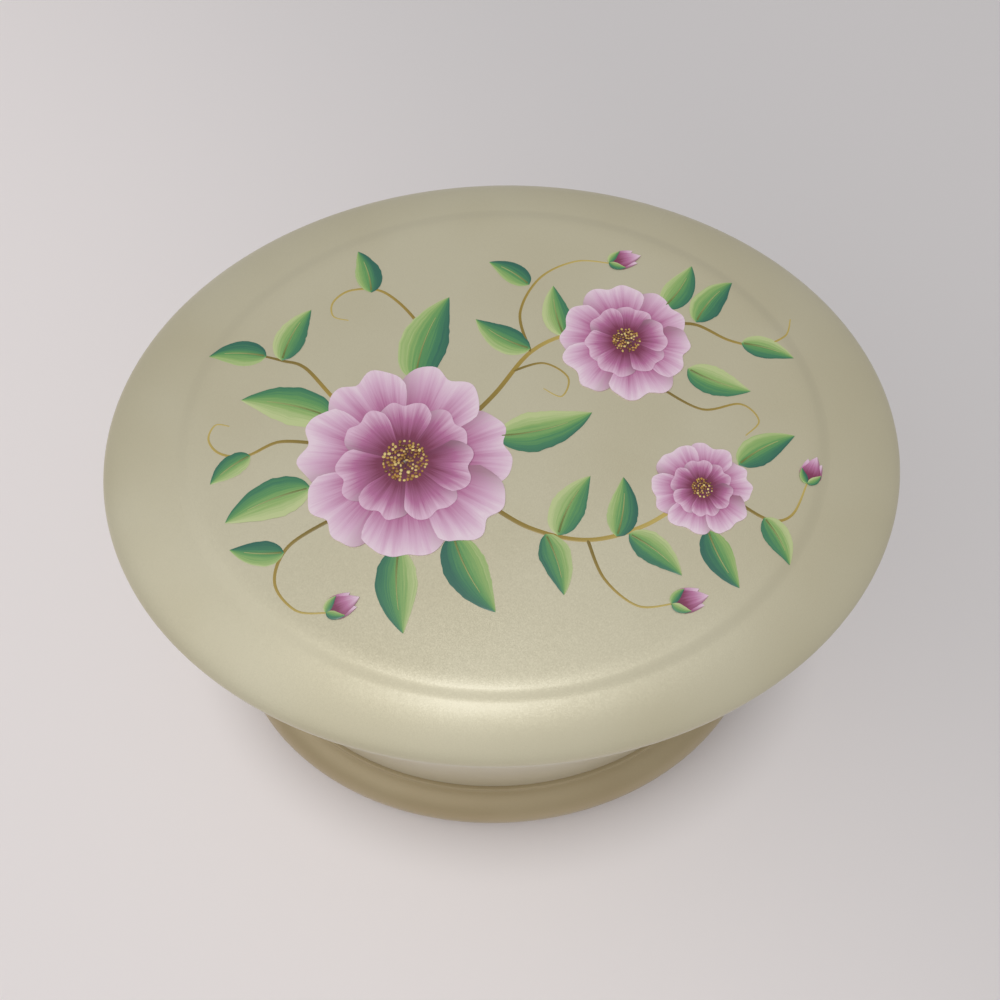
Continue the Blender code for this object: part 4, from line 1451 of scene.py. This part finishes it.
# %% Set the table
TABLE_SIZE = 12.0
# Painted shade: the table's colour darkens towards the far right, where the room's light falls off.
TABLE_PAINTED_SHADE_SLANT = (1.3, 0.8, 0.0)
TABLE_PAINTED_SHADE_FADE = (-0.2, 0.38)
TABLE_PAINTED_SHADE_TONES = [(0.0, "F2EBEA"), (1.0, "D8D4D4")]

bpy.ops.mesh.primitive_plane_add(size=TABLE_SIZE)
table = bpy.context.object
table.name = "table"
made, tree, place = new_finish("painted_table", Roughness=0.6)
# Painted shade: the colour darkens along this direction, towards the far right.
slant = vector(tree, "DOT_PRODUCT", place, TABLE_PAINTED_SHADE_SLANT)
share = ranged(tree, slant, *TABLE_PAINTED_SHADE_FADE, interpolation_type="SMOOTHSTEP")
table.data.materials.append(wired(made, Base_Color=ramp(tree, share, TABLE_PAINTED_SHADE_TONES)))
print("The table is", TABLE_SIZE, "m wide")

# %% Set the lamp, the window and the room
LAMP_PLACE = (-0.06, -0.04, 2.0)
LAMP_SIZE = 0.32
LAMP_POWER = 7.5
WINDOW_PLACE = (-0.55, 0.0, 0.80)
WINDOW_SIZE = 0.55
WINDOW_POWER = 0.42
ROOM_WHITE = "FAFAFB"
ROOM_EVEN = 0.40
ROOM_LOBES = (((-0.4, -0.4, 0.8), 8.0, 0.94), ((0.0, -0.75, 0.65), 4.0, 0.24))


def soft_lamp(name, shape, place, size, power):
    """An area lamp that faces the box."""
    made = bpy.data.objects.new(name, bpy.data.lights.new(name, "AREA"))
    made.data.shape = shape
    made.data.size = size
    made.data.energy = power
    made.location = place
    made.rotation_euler = Vector(place).to_track_quat("Z", "Y").to_euler()
    bpy.context.scene.collection.objects.link(made)


def pale_room():
    """A world of even brightness with a few soft lobes on top."""
    world = bpy.data.worlds.new("pale_room")
    world.use_nodes = True
    tree = world.node_tree
    looked = out(tree, "ShaderNodeTexCoord", "Generated")
    level = ROOM_EVEN
    for side, narrow, strength in ROOM_LOBES:
        facing = vector(tree, "DOT_PRODUCT", looked, Vector(side).normalized())
        lobe = maths(tree, "POWER", maths(tree, "MAXIMUM", facing, 0.0), narrow)
        level = maths(tree, "MULTIPLY_ADD", lobe, strength, level)
    background = tree.nodes["Background"]
    background.inputs["Color"].default_value = linear(ROOM_WHITE)
    tree.links.new(level, background.inputs["Strength"])
    return world


soft_lamp("ceiling_lamp", "DISK", LAMP_PLACE, LAMP_SIZE, LAMP_POWER)
soft_lamp("window_light", "SQUARE", WINDOW_PLACE, WINDOW_SIZE, WINDOW_POWER)
bpy.context.scene.world = pale_room()
bpy.context.scene.view_settings.view_transform = "Standard"
print("Two lamps and", len(ROOM_LOBES), "lobes light the box")
